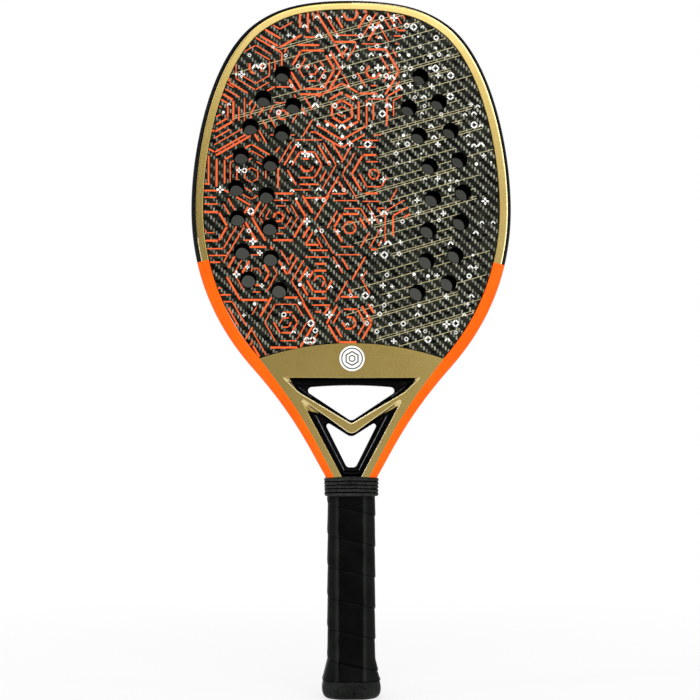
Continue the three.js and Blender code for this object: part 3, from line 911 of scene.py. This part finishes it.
def hairlines(y, side):
    """Long thin slanting lines over the upper and right parts of the face, some in pairs."""
    draw = random.Random(41)
    shape = Shape()
    for k in range(30):
        z = HAIR_FOOT + k * HAIR_PITCH + draw.uniform(-0.8, 0.8)
        left = draw.uniform(-10, 30) if z < 420 else draw.uniform(-90, -20)
        right = draw.uniform(70, 110)
        ends = [(x * side, z + x * HAIR_SLOPE) for x in (left, right)]
        add_stroke(shape, *ends, 0.42, y)
        if draw.random() < 0.6:
            add_stroke(shape, *[(x, h + HAIR_PAIR) for x, h in ends], 0.34, y)
    return shape


# Roundel on the yoke

ROUNDEL_SIDES = 64
ROUNDEL_CENTRE = (0.3, 240.8)
ROUNDEL_RINGS = ((9.0, 7.75), (7.72, 6.93))
ROUNDEL_DISC = (6.9, 6.87)
ROUNDEL_HEXAGONS = ((4.9, 0.9), (2.3, 0.8))


def roundel(sign):
    """White ring, dark ring and white disc, with two dark hexagons on the disc."""
    shape = Shape()
    centre = (ROUNDEL_CENTRE[0] * -sign, ROUNDEL_CENTRE[1])
    base, rise, top = [sign * (HALF_DEPTH + proud) for proud in (0, 0.06, 0.09)]

    def rim(radius, depth):
        return shape.add_outline(circle(centre, radius, ROUNDEL_SIDES), depth)

    for mark, (outer, inner) in enumerate(ROUNDEL_RINGS):
        rows = [rim(outer, base), rim(outer, rise), rim(inner, rise), rim(inner, base)]
        shape.skin(rows + rows[:1], mark)
    shape.solid([rim(ROUNDEL_DISC[0], base), rim(ROUNDEL_DISC[1], rise)])
    for radius, width in ROUNDEL_HEXAGONS:
        add_loop(shape, circle(centre, radius, 6, math.radians(30)), width, top, 1)
    return shape


# Handle

# Eight-sided section: weight of the slanted sides, and a power that sets how sharp its ridges are
BEVEL_WEIGHTS = (0.6384, 0.6457)
RIDGE_POWER = 16


def grip_point(turn, out, height):
    """A point on the soft eight-sided section, grown outwards by a length."""
    x, y = math.cos(turn), math.sin(turn)
    across, deep = abs(x) / (PALLET[0] + out), abs(y) / (PALLET[1] + out)
    terms = (across, deep, BEVEL_WEIGHTS[0] * across + BEVEL_WEIGHTS[1] * deep)
    radius = sum(t ** RIDGE_POWER for t in terms) ** (-1 / RIDGE_POWER)
    return (radius * x, radius * y, height)


def cap_flare(height):
    """How far the tape is pushed out by the cap under it."""
    return blend_line(height, [(GRIP_FOOT, CAP_FLARE), (CAP_TOP, 0)])


# Section of the tape: height above its lower edge and distance from the pallets
TAPE_SECTION = [
    (0.0, 1.42), (0.05, 1.8), (0.22, 2.08), (0.6, 2.26), (1.3, 2.32), (2.6, 2.26), (5.0, 2.18),
    (8.0, 2.1), (12.0, 2.02), (16.0, 1.94), (19.0, 1.86), (20.8, 1.72), (21.6, 1.4), (22.3, 1.05),
    (23.2, 0.8), (23.2, 0.55), (21.0, 0.35), (12.0, 0.35), (4.5, 0.35), (3.2, 0.6), (1.6, 1.22),
    (0.6, 1.3),
]
TAPE_START = -1.4
SEAM_WANDER = 0.22
TAPE_SWELL = 0.1


def grip_tape():
    """One long strip wound up the handle, each turn lapping over the one below it."""
    shape = Shape()
    rows = []
    last = (GRIP_TOP - TAPE_SEAM) / TAPE_PITCH
    count = int((last - TAPE_START) * RING)
    for k in range(count + 1):
        turns = TAPE_START + (last - TAPE_START) * k / count
        turn = -2 * math.pi * turns
        x, y, _ = grip_point(turn, 0, 0)
        row = []
        for up, out in TAPE_SECTION:
            height = TAPE_SEAM + TAPE_PITCH * turns + up
            if up < 3:
                height += SEAM_WANDER * noise.noise(Vector((turns * 3.1, up * 0.02, 1.7)))
            height = min(max(height, GRIP_FOOT), GRIP_TOP)
            swell = TAPE_SWELL * noise.noise(Vector((x * 0.16, y * 0.16, height * 0.09)))
            soft = swell if out > 1.5 else 0
            row.append(grip_point(turn, out + soft + cap_flare(height), height))
        rows.append(shape.add(row))
    shape.solid(rows)
    return shape


# Collar: half width, half depth and corner radius inside, at its foot and (but the width) its top
COLLAR_FOOT_SIZE = (17.85, 16.5, 7.5)
COLLAR_TOP_SIZE = (11.3, 4.3)
COLLAR_STEPS = (16, 10)
ARCH_HALF = 19
RIBS = 5
RIB_STEPS = 10
RIB_DEPTH = 0.85
RIB_WAVER = 0.35
COLLAR_WALL = 0.53
COLLAR_TAPER = 0.25


def collar():
    """Ribbed rubber collar, with five slightly uneven ribs."""
    shape = Shape()
    shoulder = GRIP_TOP + CLEARANCE
    tight = (half_width(COLLAR_TOP, 0) + CLEARANCE, *COLLAR_TOP_SIZE)

    def ring(height, wall, waver=0.0):
        share = min(max((height - shoulder) / (COLLAR_TOP - shoulder), 0), 1)
        x, y, radius = [size + wall for size in between(COLLAR_FOOT_SIZE, tight, share)]
        corners = [(x, y), (-x, y), (-x, -y), (x, -y)]
        arch = COLLAR_ARCH * (height - COLLAR_FOOT) / (COLLAR_TOP - COLLAR_FOOT)
        moved = []
        for x, y in rounded(corners, [radius] * 4, *COLLAR_STEPS):
            lift = waver * noise.noise(Vector((x * 0.11, y * 0.11, height * 0.31)))
            bow = arch * (1 - (x / ARCH_HALF) ** 2)
            moved.append((x, y, min(height + lift, COLLAR_TOP) + bow))
        return shape.add(moved)

    count = RIBS * RIB_STEPS
    rows = [ring(COLLAR_FOOT, 0.0)]
    for k in range(count + 1):
        height = COLLAR_FOOT + (COLLAR_TOP - COLLAR_FOOT) * k / count
        share = (k % RIB_STEPS) / RIB_STEPS
        rib = RIB_DEPTH * math.sin(math.pi * share) ** 0.5 if 0 < share < 1 else 0
        wall = COLLAR_WALL - COLLAR_TAPER * k / count + rib
        rows.append(ring(height, wall, RIB_WAVER if 0 < k < count else 0))
    rows += [ring(COLLAR_TOP, 0.0), ring(shoulder, 0.0), rows[0]]
    # Faces in the grooves take a near-black material: painted shade.
    shaded_grooves = (0, 1, RIB_STEPS - 1)
    shape.skin(rows, lambda i, j: int(i % RIB_STEPS in shaded_grooves and 1 < i < count - 1))
    return shape


# Cap: height and distance from the pallets outside; half width, half depth, power of the oval
# and height inside, first the room in its sleeve, then the cord's hole with its eased rim
CAP_PROFILE = [
    (0.0, 0.6), (0.12, 1.6), (0.45, 2.5), (1.1, 3.6), (2.1, 4.6), (3.4, 5.35), (4.9, 5.8),
    (6.6, 6.0), (8.2, 5.92), (10.0, 5.66), (11.6, 5.4), (12.6, 5.15), (13.0, 4.7), (13.05, 3.4),
    (CAP_TOP, 0),
]
CAP_BORE = [
    (11.85, 11.35, 10, CAP_TOP), (11.85, 11.35, 10, 7.0), (4, 4, 2, 7.0), (4, 4, 2, 0.5),
    (4.35, 4.35, 2, 0.08), (4.7, 4.7, 2, 0),
]


def butt_cap():
    """Flared cap with a soft rolled lip, a sleeve under the tape and a hole for a cord."""
    shape = Shape()
    turns = [2 * math.pi * k / RING for k in range(RING)]
    rows = []
    for height, out in CAP_PROFILE:
        rows.append(shape.add([grip_point(turn, out, height) for turn in turns]))
    for half_x, half_y, power, height in CAP_BORE:
        row = []
        for turn in turns:
            x, y = math.cos(turn), math.sin(turn)
            radius = (abs(x / half_x) ** power + abs(y / half_y) ** power) ** (-1 / power)
            row.append((radius * x, radius * y, height))
        rows.append(shape.add(row))
    shape.skin(rows + rows[:1])
    return shape


# Materials

def srgb(red, green, blue):
    """A colour as seen in a picture, 0 to 255, as a linear colour."""
    linear = []
    for value in (red, green, blue):
        share = value / 255
        linear.append(share / 12.92 if share < 0.04045 else ((share + 0.055) / 1.055) ** 2.4)
    return (*linear, 1.0)


def add_node(tree, kind, inputs=(), **settings):
    """A new node. Its inputs are a list, or a table by name or number; each is a constant or
    another node's output."""
    node = tree.nodes.new("ShaderNode" + kind)
    for setting, value in settings.items():
        setattr(node, setting, value)
    pairs = inputs.items() if isinstance(inputs, dict) else enumerate(inputs)
    for key, source in pairs:
        if hasattr(source, "links"):
            tree.links.new(source, node.inputs[key])
        else:
            node.inputs[key].default_value = source
    return node


def ramp(tree, value, low, high, to_low=0.0, to_high=1.0, smooth=False):
    """Maps one range of values onto another and keeps its ends beyond it."""
    limits = {"From Min": low, "From Max": high, "To Min": to_low, "To Max": to_high}
    kind = "SMOOTHSTEP" if smooth else "LINEAR"
    node = add_node(tree, "MapRange", {"Value": value, **limits}, interpolation_type=kind)
    return node.outputs["Result"]


class Finish:
    """A material of Principled BSDF with helpers to lay out its nodes, in millimetres."""

    def __init__(self, name, **sockets):
        self.material = bpy.data.materials.new(name)
        self.material.use_nodes = True
        self.tree = self.material.node_tree
        self.shader = self.tree.nodes["Principled BSDF"].inputs
        for socket, value in sockets.items():
            self.shader[socket.replace("_", " ")].default_value = value
        metres = self.out("TexCoord", output="Object")
        self.place = self.out("VectorMath", {0: metres, "Scale": 1 / MM}, operation="SCALE")

    def out(self, kind, inputs=(), output=0, **settings):
        """One output of a new node."""
        return add_node(self.tree, kind, inputs, **settings).outputs[output]

    def axes(self):
        return add_node(self.tree, "SeparateXYZ", [self.place]).outputs

    def math(self, operation, *values, clamp=False):
        return self.out("Math", values, operation=operation, use_clamp=clamp)

    def away(self, value, middle):
        """How far a value is from a middle."""
        return self.math("ABSOLUTE", self.math("SUBTRACT", value, middle))

    def noise(self, scale, detail=2.0, stretch=None, roughness=0.5):
        place = self.place
        if stretch:
            place = self.out("VectorMath", [place, stretch], operation="MULTIPLY")
        look = {"Vector": place, "Scale": scale, "Detail": detail, "Roughness": roughness}
        return self.out("TexNoise", look, "Fac")

    def chance(self, *numbers):
        """A random value for each set of three numbers."""
        return self.out("TexWhiteNoise", {"Vector": self.out("CombineXYZ", numbers)}, "Value")

    def remap(self, value, *limits, smooth=False):
        return ramp(self.tree, value, *limits, smooth=smooth)

    def mix(self, share, low, high):
        return self.out("Mix", {"Factor": share, 6: low, 7: high}, 2, data_type="RGBA")

    def clouds(self, value, low, high):
        """Two colours, one in the low and one in the high parts of a noise."""
        return self.mix(self.remap(value, 0.35, 0.65), srgb(*low), srgb(*high))

    def complete(self, colour, grain, rough, depth, strength, relief=None):
        """Wires up the shader: colour, roughness from one value to another with the grain,
        and a relief, which is the grain too if nothing else is given."""
        height = grain if relief is None else relief
        look = {"Height": height, "Distance": depth * MM, "Strength": strength}
        self.tree.links.new(colour, self.shader["Base Color"])
        self.tree.links.new(self.remap(grain, 0.3, 0.7, *rough), self.shader["Roughness"])
        self.tree.links.new(self.out("Bump", look, "Normal"), self.shader["Normal"])
        return self.material


def gold_paint():
    finish = Finish("gold_paint", Metallic=0.9, Coat_Weight=0.8, Coat_Roughness=0.12,
                    Specular_IOR_Level=0.4)
    flake = finish.noise(2.6, 3.0, roughness=0.7)
    base = finish.clouds(finish.noise(0.05, 3.0), (176, 153, 82), (187, 163, 92))
    colour = finish.mix(finish.remap(flake, 0.3, 0.7), base, srgb(166, 142, 72))
    return finish.complete(colour, flake, (0.2, 0.28), 0.01, 0.25)


def gold_highlight_paint():
    """Pale gold, a painted highlight along the rolled edges of the recesses, at their tips and
    beside the hoop's black edge.
    """
    finish = Finish("gold_painted_highlight", Metallic=0.6, Coat_Weight=0.8, Coat_Roughness=0.12,
                    Specular_IOR_Level=0.4)
    wear = finish.noise(0.5, 3.0)
    colour = finish.clouds(wear, (236, 214, 150), (246, 232, 184))
    return finish.complete(colour, wear, (0.22, 0.34), 0.01, 0.25)


def orange_paint():
    finish = Finish("orange_paint", Coat_Weight=0.05, Coat_Roughness=0.1, Specular_IOR_Level=0.05)
    grain = finish.noise(1.4)
    base = finish.clouds(finish.noise(0.06, 3.0), (252, 93, 6), (252, 101, 11))
    colour = finish.mix(finish.remap(grain, 0.4, 0.8, 0.0, 0.3), base, srgb(248, 92, 10))
    return finish.complete(colour, grain, (0.3, 0.4), 0.008, 0.4)


def black_paint(name, low, high, **sockets):
    finish = Finish(name, **sockets)
    colour = finish.mix(finish.noise(0.09, 3.0), srgb(*low), srgb(*high))
    return finish.complete(colour, finish.noise(1.1), (0.2, 0.3), 0.008, 0.4)


# Twill: width of a tow along the racket, of one across it, and tows in a repeat
TOW_WIDTH = 1.95
TOW_STEP = 1.87
TWILL_REPEAT = 4.0


def woven_sheet():
    """Twill of pale glass tows along the racket over black carbon tows across it."""
    finish = Finish("woven_sheet", Coat_Weight=0.03, Coat_Roughness=0.15, Specular_IOR_Level=0.03)
    x, _, z = finish.axes()
    u = finish.math("DIVIDE", x, TOW_WIDTH)
    v = finish.math("DIVIDE", z, TOW_STEP)
    column = finish.math("FLOOR", u)
    row = finish.math("FLOOR", v)
    across = finish.away(finish.math("SUBTRACT", u, column), 0.5)
    climb = finish.math("ADD", column, v)
    along = finish.away(finish.math("FLOORED_MODULO", climb, TWILL_REPEAT), 1.0)
    body = finish.math("MULTIPLY", finish.remap(across, 0.15, 0.44, 1.0, 0.0, smooth=True),
                       finish.remap(along, 0.42, 0.98, 1.0, 0.0, smooth=True))
    tow = finish.math("FLOOR", finish.math("DIVIDE", climb, TWILL_REPEAT))
    fibres = finish.noise(1.0, stretch=(5.0, 1.0, 0.35))
    level = finish.remap(finish.chance(column, tow, 0.0), 0.0, 1.0, 0.35, 1.0)
    # The last factor is painted light: the pale tows grow lighter towards +x and darker towards -x.
    for value, *limits in (
        (fibres, 0.3, 0.7, 0.6, 1.1), (finish.noise(0.018), 0.35, 0.65, 0.65, 1.1),
        (finish.noise(0.11), 0.35, 0.65, 0.75, 1.1), (x, -80.0, 60.0, 0.72, 1.15),
    ):
        level = finish.math("MULTIPLY", level, finish.remap(value, *limits))
    share = finish.math("MULTIPLY", body, level, clamp=True)
    climb = finish.math("DIVIDE", finish.math("ADD", u, row), TWILL_REPEAT)
    weft_chance = finish.chance(row, finish.math("FLOOR", climb), 7.0)
    weft = finish.mix(weft_chance, srgb(0, 0, 0), srgb(34, 36, 28))
    colour = finish.mix(share, weft, srgb(176, 176, 158))
    return finish.complete(colour, fibres, (0.34, 0.5), 0.06, 0.5, body)


def plain_finish(name, low, high, rough, scale, depth, shine=0.5, metallic=0.0):
    """A mottled finish: two colours and a grain that also moves roughness and relief."""
    finish = Finish(name, Specular_IOR_Level=shine, Metallic=metallic)
    grain = finish.noise(scale, 4.0, roughness=0.6)
    total = finish.math("ADD", grain, finish.noise(scale * 0.08))
    share = finish.remap(finish.math("MULTIPLY", total, 0.5), 0.38, 0.62)
    colour = finish.mix(share, srgb(*low), srgb(*high))
    return finish.complete(colour, grain, (rough - 0.07, rough + 0.07), depth, 0.6)


# Painted light on the tape across the handle, in mm from its middle: where the darker flat turns
# into the ridge's painted highlight, and the ridge into the lighter bevel
RIDGE_MIDDLE = -0.6
RIDGE_HIGHLIGHT_START = (8.0, 9.5)
RIDGE_HIGHLIGHT_END = (9.9, 11.9)


def tape_finish():
    """Soft dark tape with fine pores and faint creases, with painted shade on the front flat, a
    painted highlight along the handle's ridges and lighter painted bevels.
    """
    finish = Finish("grip_tape_finish", Specular_IOR_Level=0.04, Sheen_Weight=0.01,
                    Sheen_Roughness=0.4)
    pores = finish.out("TexVoronoi", {"Vector": finish.place, "Scale": 1.35}, "Distance")
    grain = finish.noise(1.8, 4.0, roughness=0.65)
    creases = finish.noise(0.35, 3.0, (1.0, 1.0, 2.6))
    bloom = finish.noise(0.07, 3.0)
    # Painted light: the flat is painted darkest, the ridge gets a painted highlight, the bevel is
    # painted lighter.
    flat = finish.clouds(bloom, (0, 1, 0), (5, 6, 5))
    ridge_highlight = finish.clouds(bloom, (24, 27, 24), (36, 39, 36))
    lit_bevel = finish.clouds(bloom, (8, 10, 8), (20, 22, 20))
    wobble = finish.math("MULTIPLY", finish.math("SUBTRACT", bloom, 0.5), 1.5)
    across = finish.math("ADD", finish.away(finish.axes()[0], RIDGE_MIDDLE), wobble)
    colour = finish.mix(finish.remap(across, *RIDGE_HIGHLIGHT_START, smooth=True), flat, ridge_highlight)
    colour = finish.mix(finish.remap(across, *RIDGE_HIGHLIGHT_END, smooth=True), colour, lit_bevel)
    skin = finish.remap(pores, 0.05, 0.3)
    colour = finish.mix(skin, srgb(1, 1, 1), colour)
    height = finish.math("ADD", finish.math("MULTIPLY", grain, 0.4), creases)
    height = finish.math("ADD", finish.math("MULTIPLY", skin, 0.6), height)
    return finish.complete(colour, grain, (0.38, 0.52), 0.1, 0.55, height)


# Plain finishes: darker and lighter colour, roughness, scale of the grain, depth of its
# relief, shine and metal
PLAIN = {row[0]: plain_finish(*row) for row in (
    # Painted highlight on the lip round the openings, in pale grey
    ("lip_painted_highlight", (84, 84, 92), (150, 150, 158), 0.3, 0.35, 0.006),
    ("core_wall", (1, 1, 1), (7, 7, 6), 0.8, 1.2, 0.08, 0.0),
    ("white_ink", (236, 236, 228), (250, 250, 246), 0.4, 1.5, 0.006, 0.3),
    ("orange_ink", (232, 84, 22), (246, 98, 32), 0.4, 1.2, 0.006, 0.3),
    ("gold_ink", (170, 160, 118), (200, 188, 140), 0.4, 1.2, 0.006, 0.3),
    ("dark_ink", (38, 36, 28), (54, 50, 40), 0.4, 1.2, 0.006, 0.3),
    ("collar_rubber", (8, 9, 8), (50, 53, 50), 0.42, 0.7, 0.25, 0.08),
    # Painted shade in the collar's grooves
    ("collar_groove_shade", (0, 0, 0), (3, 3, 3), 0.7, 0.9, 0.1, 0.0),
    ("cap_plastic", (6, 7, 6), (33, 36, 33), 0.45, 0.6, 0.05, 0.07),
    ("filler_foam", (176, 160, 126), (196, 180, 146), 0.85, 1.1, 0.15),
    ("pallet_foam", (52, 52, 50), (68, 68, 65), 0.75, 1.3, 0.1),
    ("staple_wire", (190, 192, 194), (214, 215, 216), 0.3, 2.0, 0.01, 0.5, 1.0),
    ("band_tape", (8, 8, 8), (22, 22, 22), 0.45, 1.5, 0.02),
)}
MOULDING_FINISHES = [
    gold_paint(),
    black_paint("black_paint", (2, 2, 2), (8, 8, 9), Specular_IOR_Level=0.1),
    orange_paint(),
    black_paint("recess_black", (0, 0, 0), (3, 3, 4), Specular_IOR_Level=0.02, Coat_Weight=0.05,
                Coat_Roughness=0.06),
    gold_highlight_paint(),
    PLAIN["lip_painted_highlight"],
]
weave = woven_sheet()


# Build

for name, finish in (
    ("shaft_filler", "filler_foam"), ("front_pallet", "pallet_foam"),
    ("back_pallet", "pallet_foam"), ("front_staple", "staple_wire"),
    ("back_staple", "staple_wire"), ("finishing_band", "band_tape"),
):
    shown = nodes[name].data.materials
    shown.clear()
    shown.append(PLAIN[finish])

moulding = Shape()
add_hoop(moulding)
add_throat(moulding)
make_piece("painted_moulding", moulding, MOULDING_FINISHES,
           ("frame_hoop", "throat_yoke", "throat_strut", "throat_wedge"))
for name, sign in (("front", -1), ("back", 1)):
    make_piece(f"{name}_woven_sheet", face_layer(sheet_levels(sign), 1),
               [weave, PLAIN["core_wall"]], (f"{name}_face_sheet",))
    for motif, draw_motif, rise, ink in (
        ("lines", orange_motif, 1.0, "orange_ink"), ("hairlines", hairlines, 0.9985, "gold_ink"),
        ("marks", white_motif, 1.001, "white_ink"),
    ):
        level = sign * (HALF_DEPTH + PRINT_RISE) * rise
        make_piece(f"{name}_print_{motif}", draw_motif(level, -sign), [PLAIN[ink]])
    make_piece(f"{name}_roundel", roundel(sign), [PLAIN["white_ink"], PLAIN["dark_ink"]])
make_piece("drilled_core", face_layer(CORE_LEVELS, 0), [PLAIN["core_wall"]],
           ("foam_core",))
make_piece("wound_tape", grip_tape(), [tape_finish()], ("grip_tape",), sharp=50)
make_piece("ribbed_collar", collar(), [PLAIN["collar_rubber"], PLAIN["collar_groove_shade"]],
           ("rubber_collar",), sharp=60)
make_piece("rolled_cap", butt_cap(), [PLAIN["cap_plastic"]], ("butt_cap",), sharp=50)


# Stage: pale floor, cards behind the drilled holes that glow with painted shade, lamps and camera.
# Lengths are in metres here, but for those of the cards and the camera's place.

FLOOR_HALF = 30.0
FLOOR_WHITE = (0.9, 0.9, 0.9, 1)
FLOOR_FADE = (0.15, 0.8, 0.7, 1.0)
CARD_SHADE_FADE = (0.215, 0.3, 1.0, 0.72)
WHITE = (1, 1, 1, 1)


def mixed(tree, *inputs):
    """Mix of two shaders, after the factor."""
    return add_node(tree, "MixShader", inputs).outputs[0]


def shade_card_shader(tree, colour):
    """Painted shade glowing in one colour from the front, a little darker higher up; see-through
    from behind and to all other rays."""
    place = add_node(tree, "TexCoord").outputs["Object"]
    height = add_node(tree, "SeparateXYZ", [place]).outputs[2]
    look = {"Color": colour, "Strength": ramp(tree, height, *CARD_SHADE_FADE)}
    card = add_node(tree, "Emission", look).outputs[0]
    clear = add_node(tree, "BsdfTransparent").outputs[0]
    seen = add_node(tree, "LightPath").outputs["Is Camera Ray"]
    back = add_node(tree, "NewGeometry").outputs["Backfacing"]
    return mixed(tree, back, mixed(tree, seen, clear, card), clear)


def floor_shader(tree):
    """White floor that keeps its shadow near the racket and turns to plain white far off."""
    place = add_node(tree, "TexCoord").outputs["Object"]
    away = add_node(tree, "VectorMath", [place], operation="LENGTH").outputs["Value"]
    shaded = add_node(tree, "BsdfDiffuse", {"Color": FLOOR_WHITE}).outputs[0]
    plain = add_node(tree, "Emission", {"Color": WHITE, "Strength": 1.0}).outputs[0]
    return mixed(tree, ramp(tree, away, *FLOOR_FADE), shaded, plain)


def stage_object(name, points, faces, shader, *values):
    """A mesh of the stage, with a shader of its own. Its points are in metres."""
    material = bpy.data.materials.new(name)
    material.use_nodes = True
    tree = material.node_tree
    tree.nodes.clear()
    add_node(tree, "OutputMaterial", {"Surface": shader(tree, *values)})
    mesh = bpy.data.meshes.new(name)
    mesh.from_pydata(points, [], faces)
    mesh.materials.append(material)
    item = add_object(name, mesh)


def hole_shade_cards(name, radius, shift, gap, colour):
    """A round card behind each hole, glowing with painted shade. Radius, shift (x, height) and gap
    are in millimetres.
    """
    points = []
    faces = []
    for x, z in HOLES:
        start = len(points)
        for across, up in circle((x + shift[0], z + shift[1]), radius, HOLE_SIDES):
            points.append(to_frame((across, HALF_DEPTH + gap, up)))
        faces.append(tuple(range(start, len(points))))
    stage_object(name, points, faces, shade_card_shader, colour)


corners = [(x * FLOOR_HALF, y * FLOOR_HALF, BUTT) for x, y in ((-1, -1), (1, -1), (1, 1), (-1, 1))]
stage_object("floor", corners, [(0, 1, 2, 3)], floor_shader)
# Painted shade: grey cards stand for the shaded backdrop seen through the holes, and the larger
# dark cards for the hole walls' shadow.
hole_shade_cards("grey_painted_shade_cards", 5.7, (-1.2, -0.6), 0.02, srgb(79, 80, 75))
hole_shade_cards("dark_painted_shadow_cards", 6.0, (0, 0), 0.04, srgb(5, 5, 5))

# Soft boxes: name, place, target, width and height, brightness
HEAD_MIDDLE = (0, 0, 0.3)
THROAT_MIDDLE = (0, 0, 0.15)
LAMPS = [
    ("front_box", (0.1, -2.1, 1.55), HEAD_MIDDLE, (2.2, 1.4), 3.0),
    ("right_low_box", (0.68, -2.0, 0.6), HEAD_MIDDLE, (1.0, 0.8), 0.85),
    ("right_edge_box", (1.35, -1.8, 0.75), HEAD_MIDDLE, (0.35, 1.3), 4.0),
    ("left_strip", (-1.7, -0.9, 0.6), THROAT_MIDDLE, (0.07, 1.6), 18.0),
    ("right_strip", (1.8, -0.8, 0.7), THROAT_MIDDLE, (0.07, 1.6), 10.0),
    ("back_box", (-0.3, 2.2, 1.5), HEAD_MIDDLE, (2.0, 1.4), 3.0),
]


def aim(item, place, way):
    """Puts a lamp or a camera at a place, looking one way."""
    item.location = place
    item.rotation_euler = way.to_track_quat("-Z", "Y").to_euler()


for name, place, target, size, radiance in LAMPS:
    light = bpy.data.lights.new(name, "AREA")
    light.shape = "RECTANGLE"
    light.size, light.size_y = size
    light.energy = radiance * math.pi * size[0] * size[1]
    lamp = add_object(name, light)
    aim(lamp, place, Vector(target) - Vector(place))
    lamp.visible_camera = False


# Brightness of the room in gloss: from this value in front of the racket up to 1 behind it,
# and its brightness to all other rays
ROOM_FADE = (-0.5, 0.8, 0.295, 1.0)
WORLD_LEVEL = 0.5


def build_world():
    """White to the camera, and in gloss behind the racket; a darker room in front of it."""
    world = bpy.data.worlds.new("studio")
    bpy.context.scene.world = world
    world.use_nodes = True
    tree = world.node_tree
    tree.nodes.clear()

    def background(strength):
        return add_node(tree, "Background", {"Color": WHITE, "Strength": strength}).outputs[0]

    path = add_node(tree, "LightPath").outputs
    generated = add_node(tree, "TexCoord").outputs["Generated"]
    across = add_node(tree, "SeparateXYZ", [generated]).outputs["Y"]
    room = background(ramp(tree, across, *ROOM_FADE))
    straight = [path["Is Camera Ray"], path["Is Transmission Ray"]]
    clear = add_node(tree, "Math", straight, operation="MAXIMUM").outputs[0]
    hidden = mixed(tree, path["Is Glossy Ray"], background(WORLD_LEVEL), room)
    add_node(tree, "OutputWorld", {"Surface": mixed(tree, clear, hidden, background(1.0))})


build_world()

CAMERA_PLACE = (-34.6, -1222.9, 183.3)
CAMERA_YAW = math.radians(1.58)
CAMERA_PITCH = math.radians(3.0)
CAMERA_LENS = 87.53
CAMERA_SENSOR = 36.0
camera_data = bpy.data.cameras.new("camera")
camera_data.sensor_fit = "HORIZONTAL"
camera_data.sensor_width = CAMERA_SENSOR
camera_data.lens = CAMERA_LENS
camera_data.clip_start = 0.05
camera = add_object("camera", camera_data)
aim(camera, to_frame(CAMERA_PLACE), Vector((
    math.sin(CAMERA_YAW) * math.cos(CAMERA_PITCH),
    math.cos(CAMERA_YAW) * math.cos(CAMERA_PITCH),
    math.sin(CAMERA_PITCH),
)))
bpy.context.scene.camera = camera
bpy.context.scene.view_settings.view_transform = "Standard"
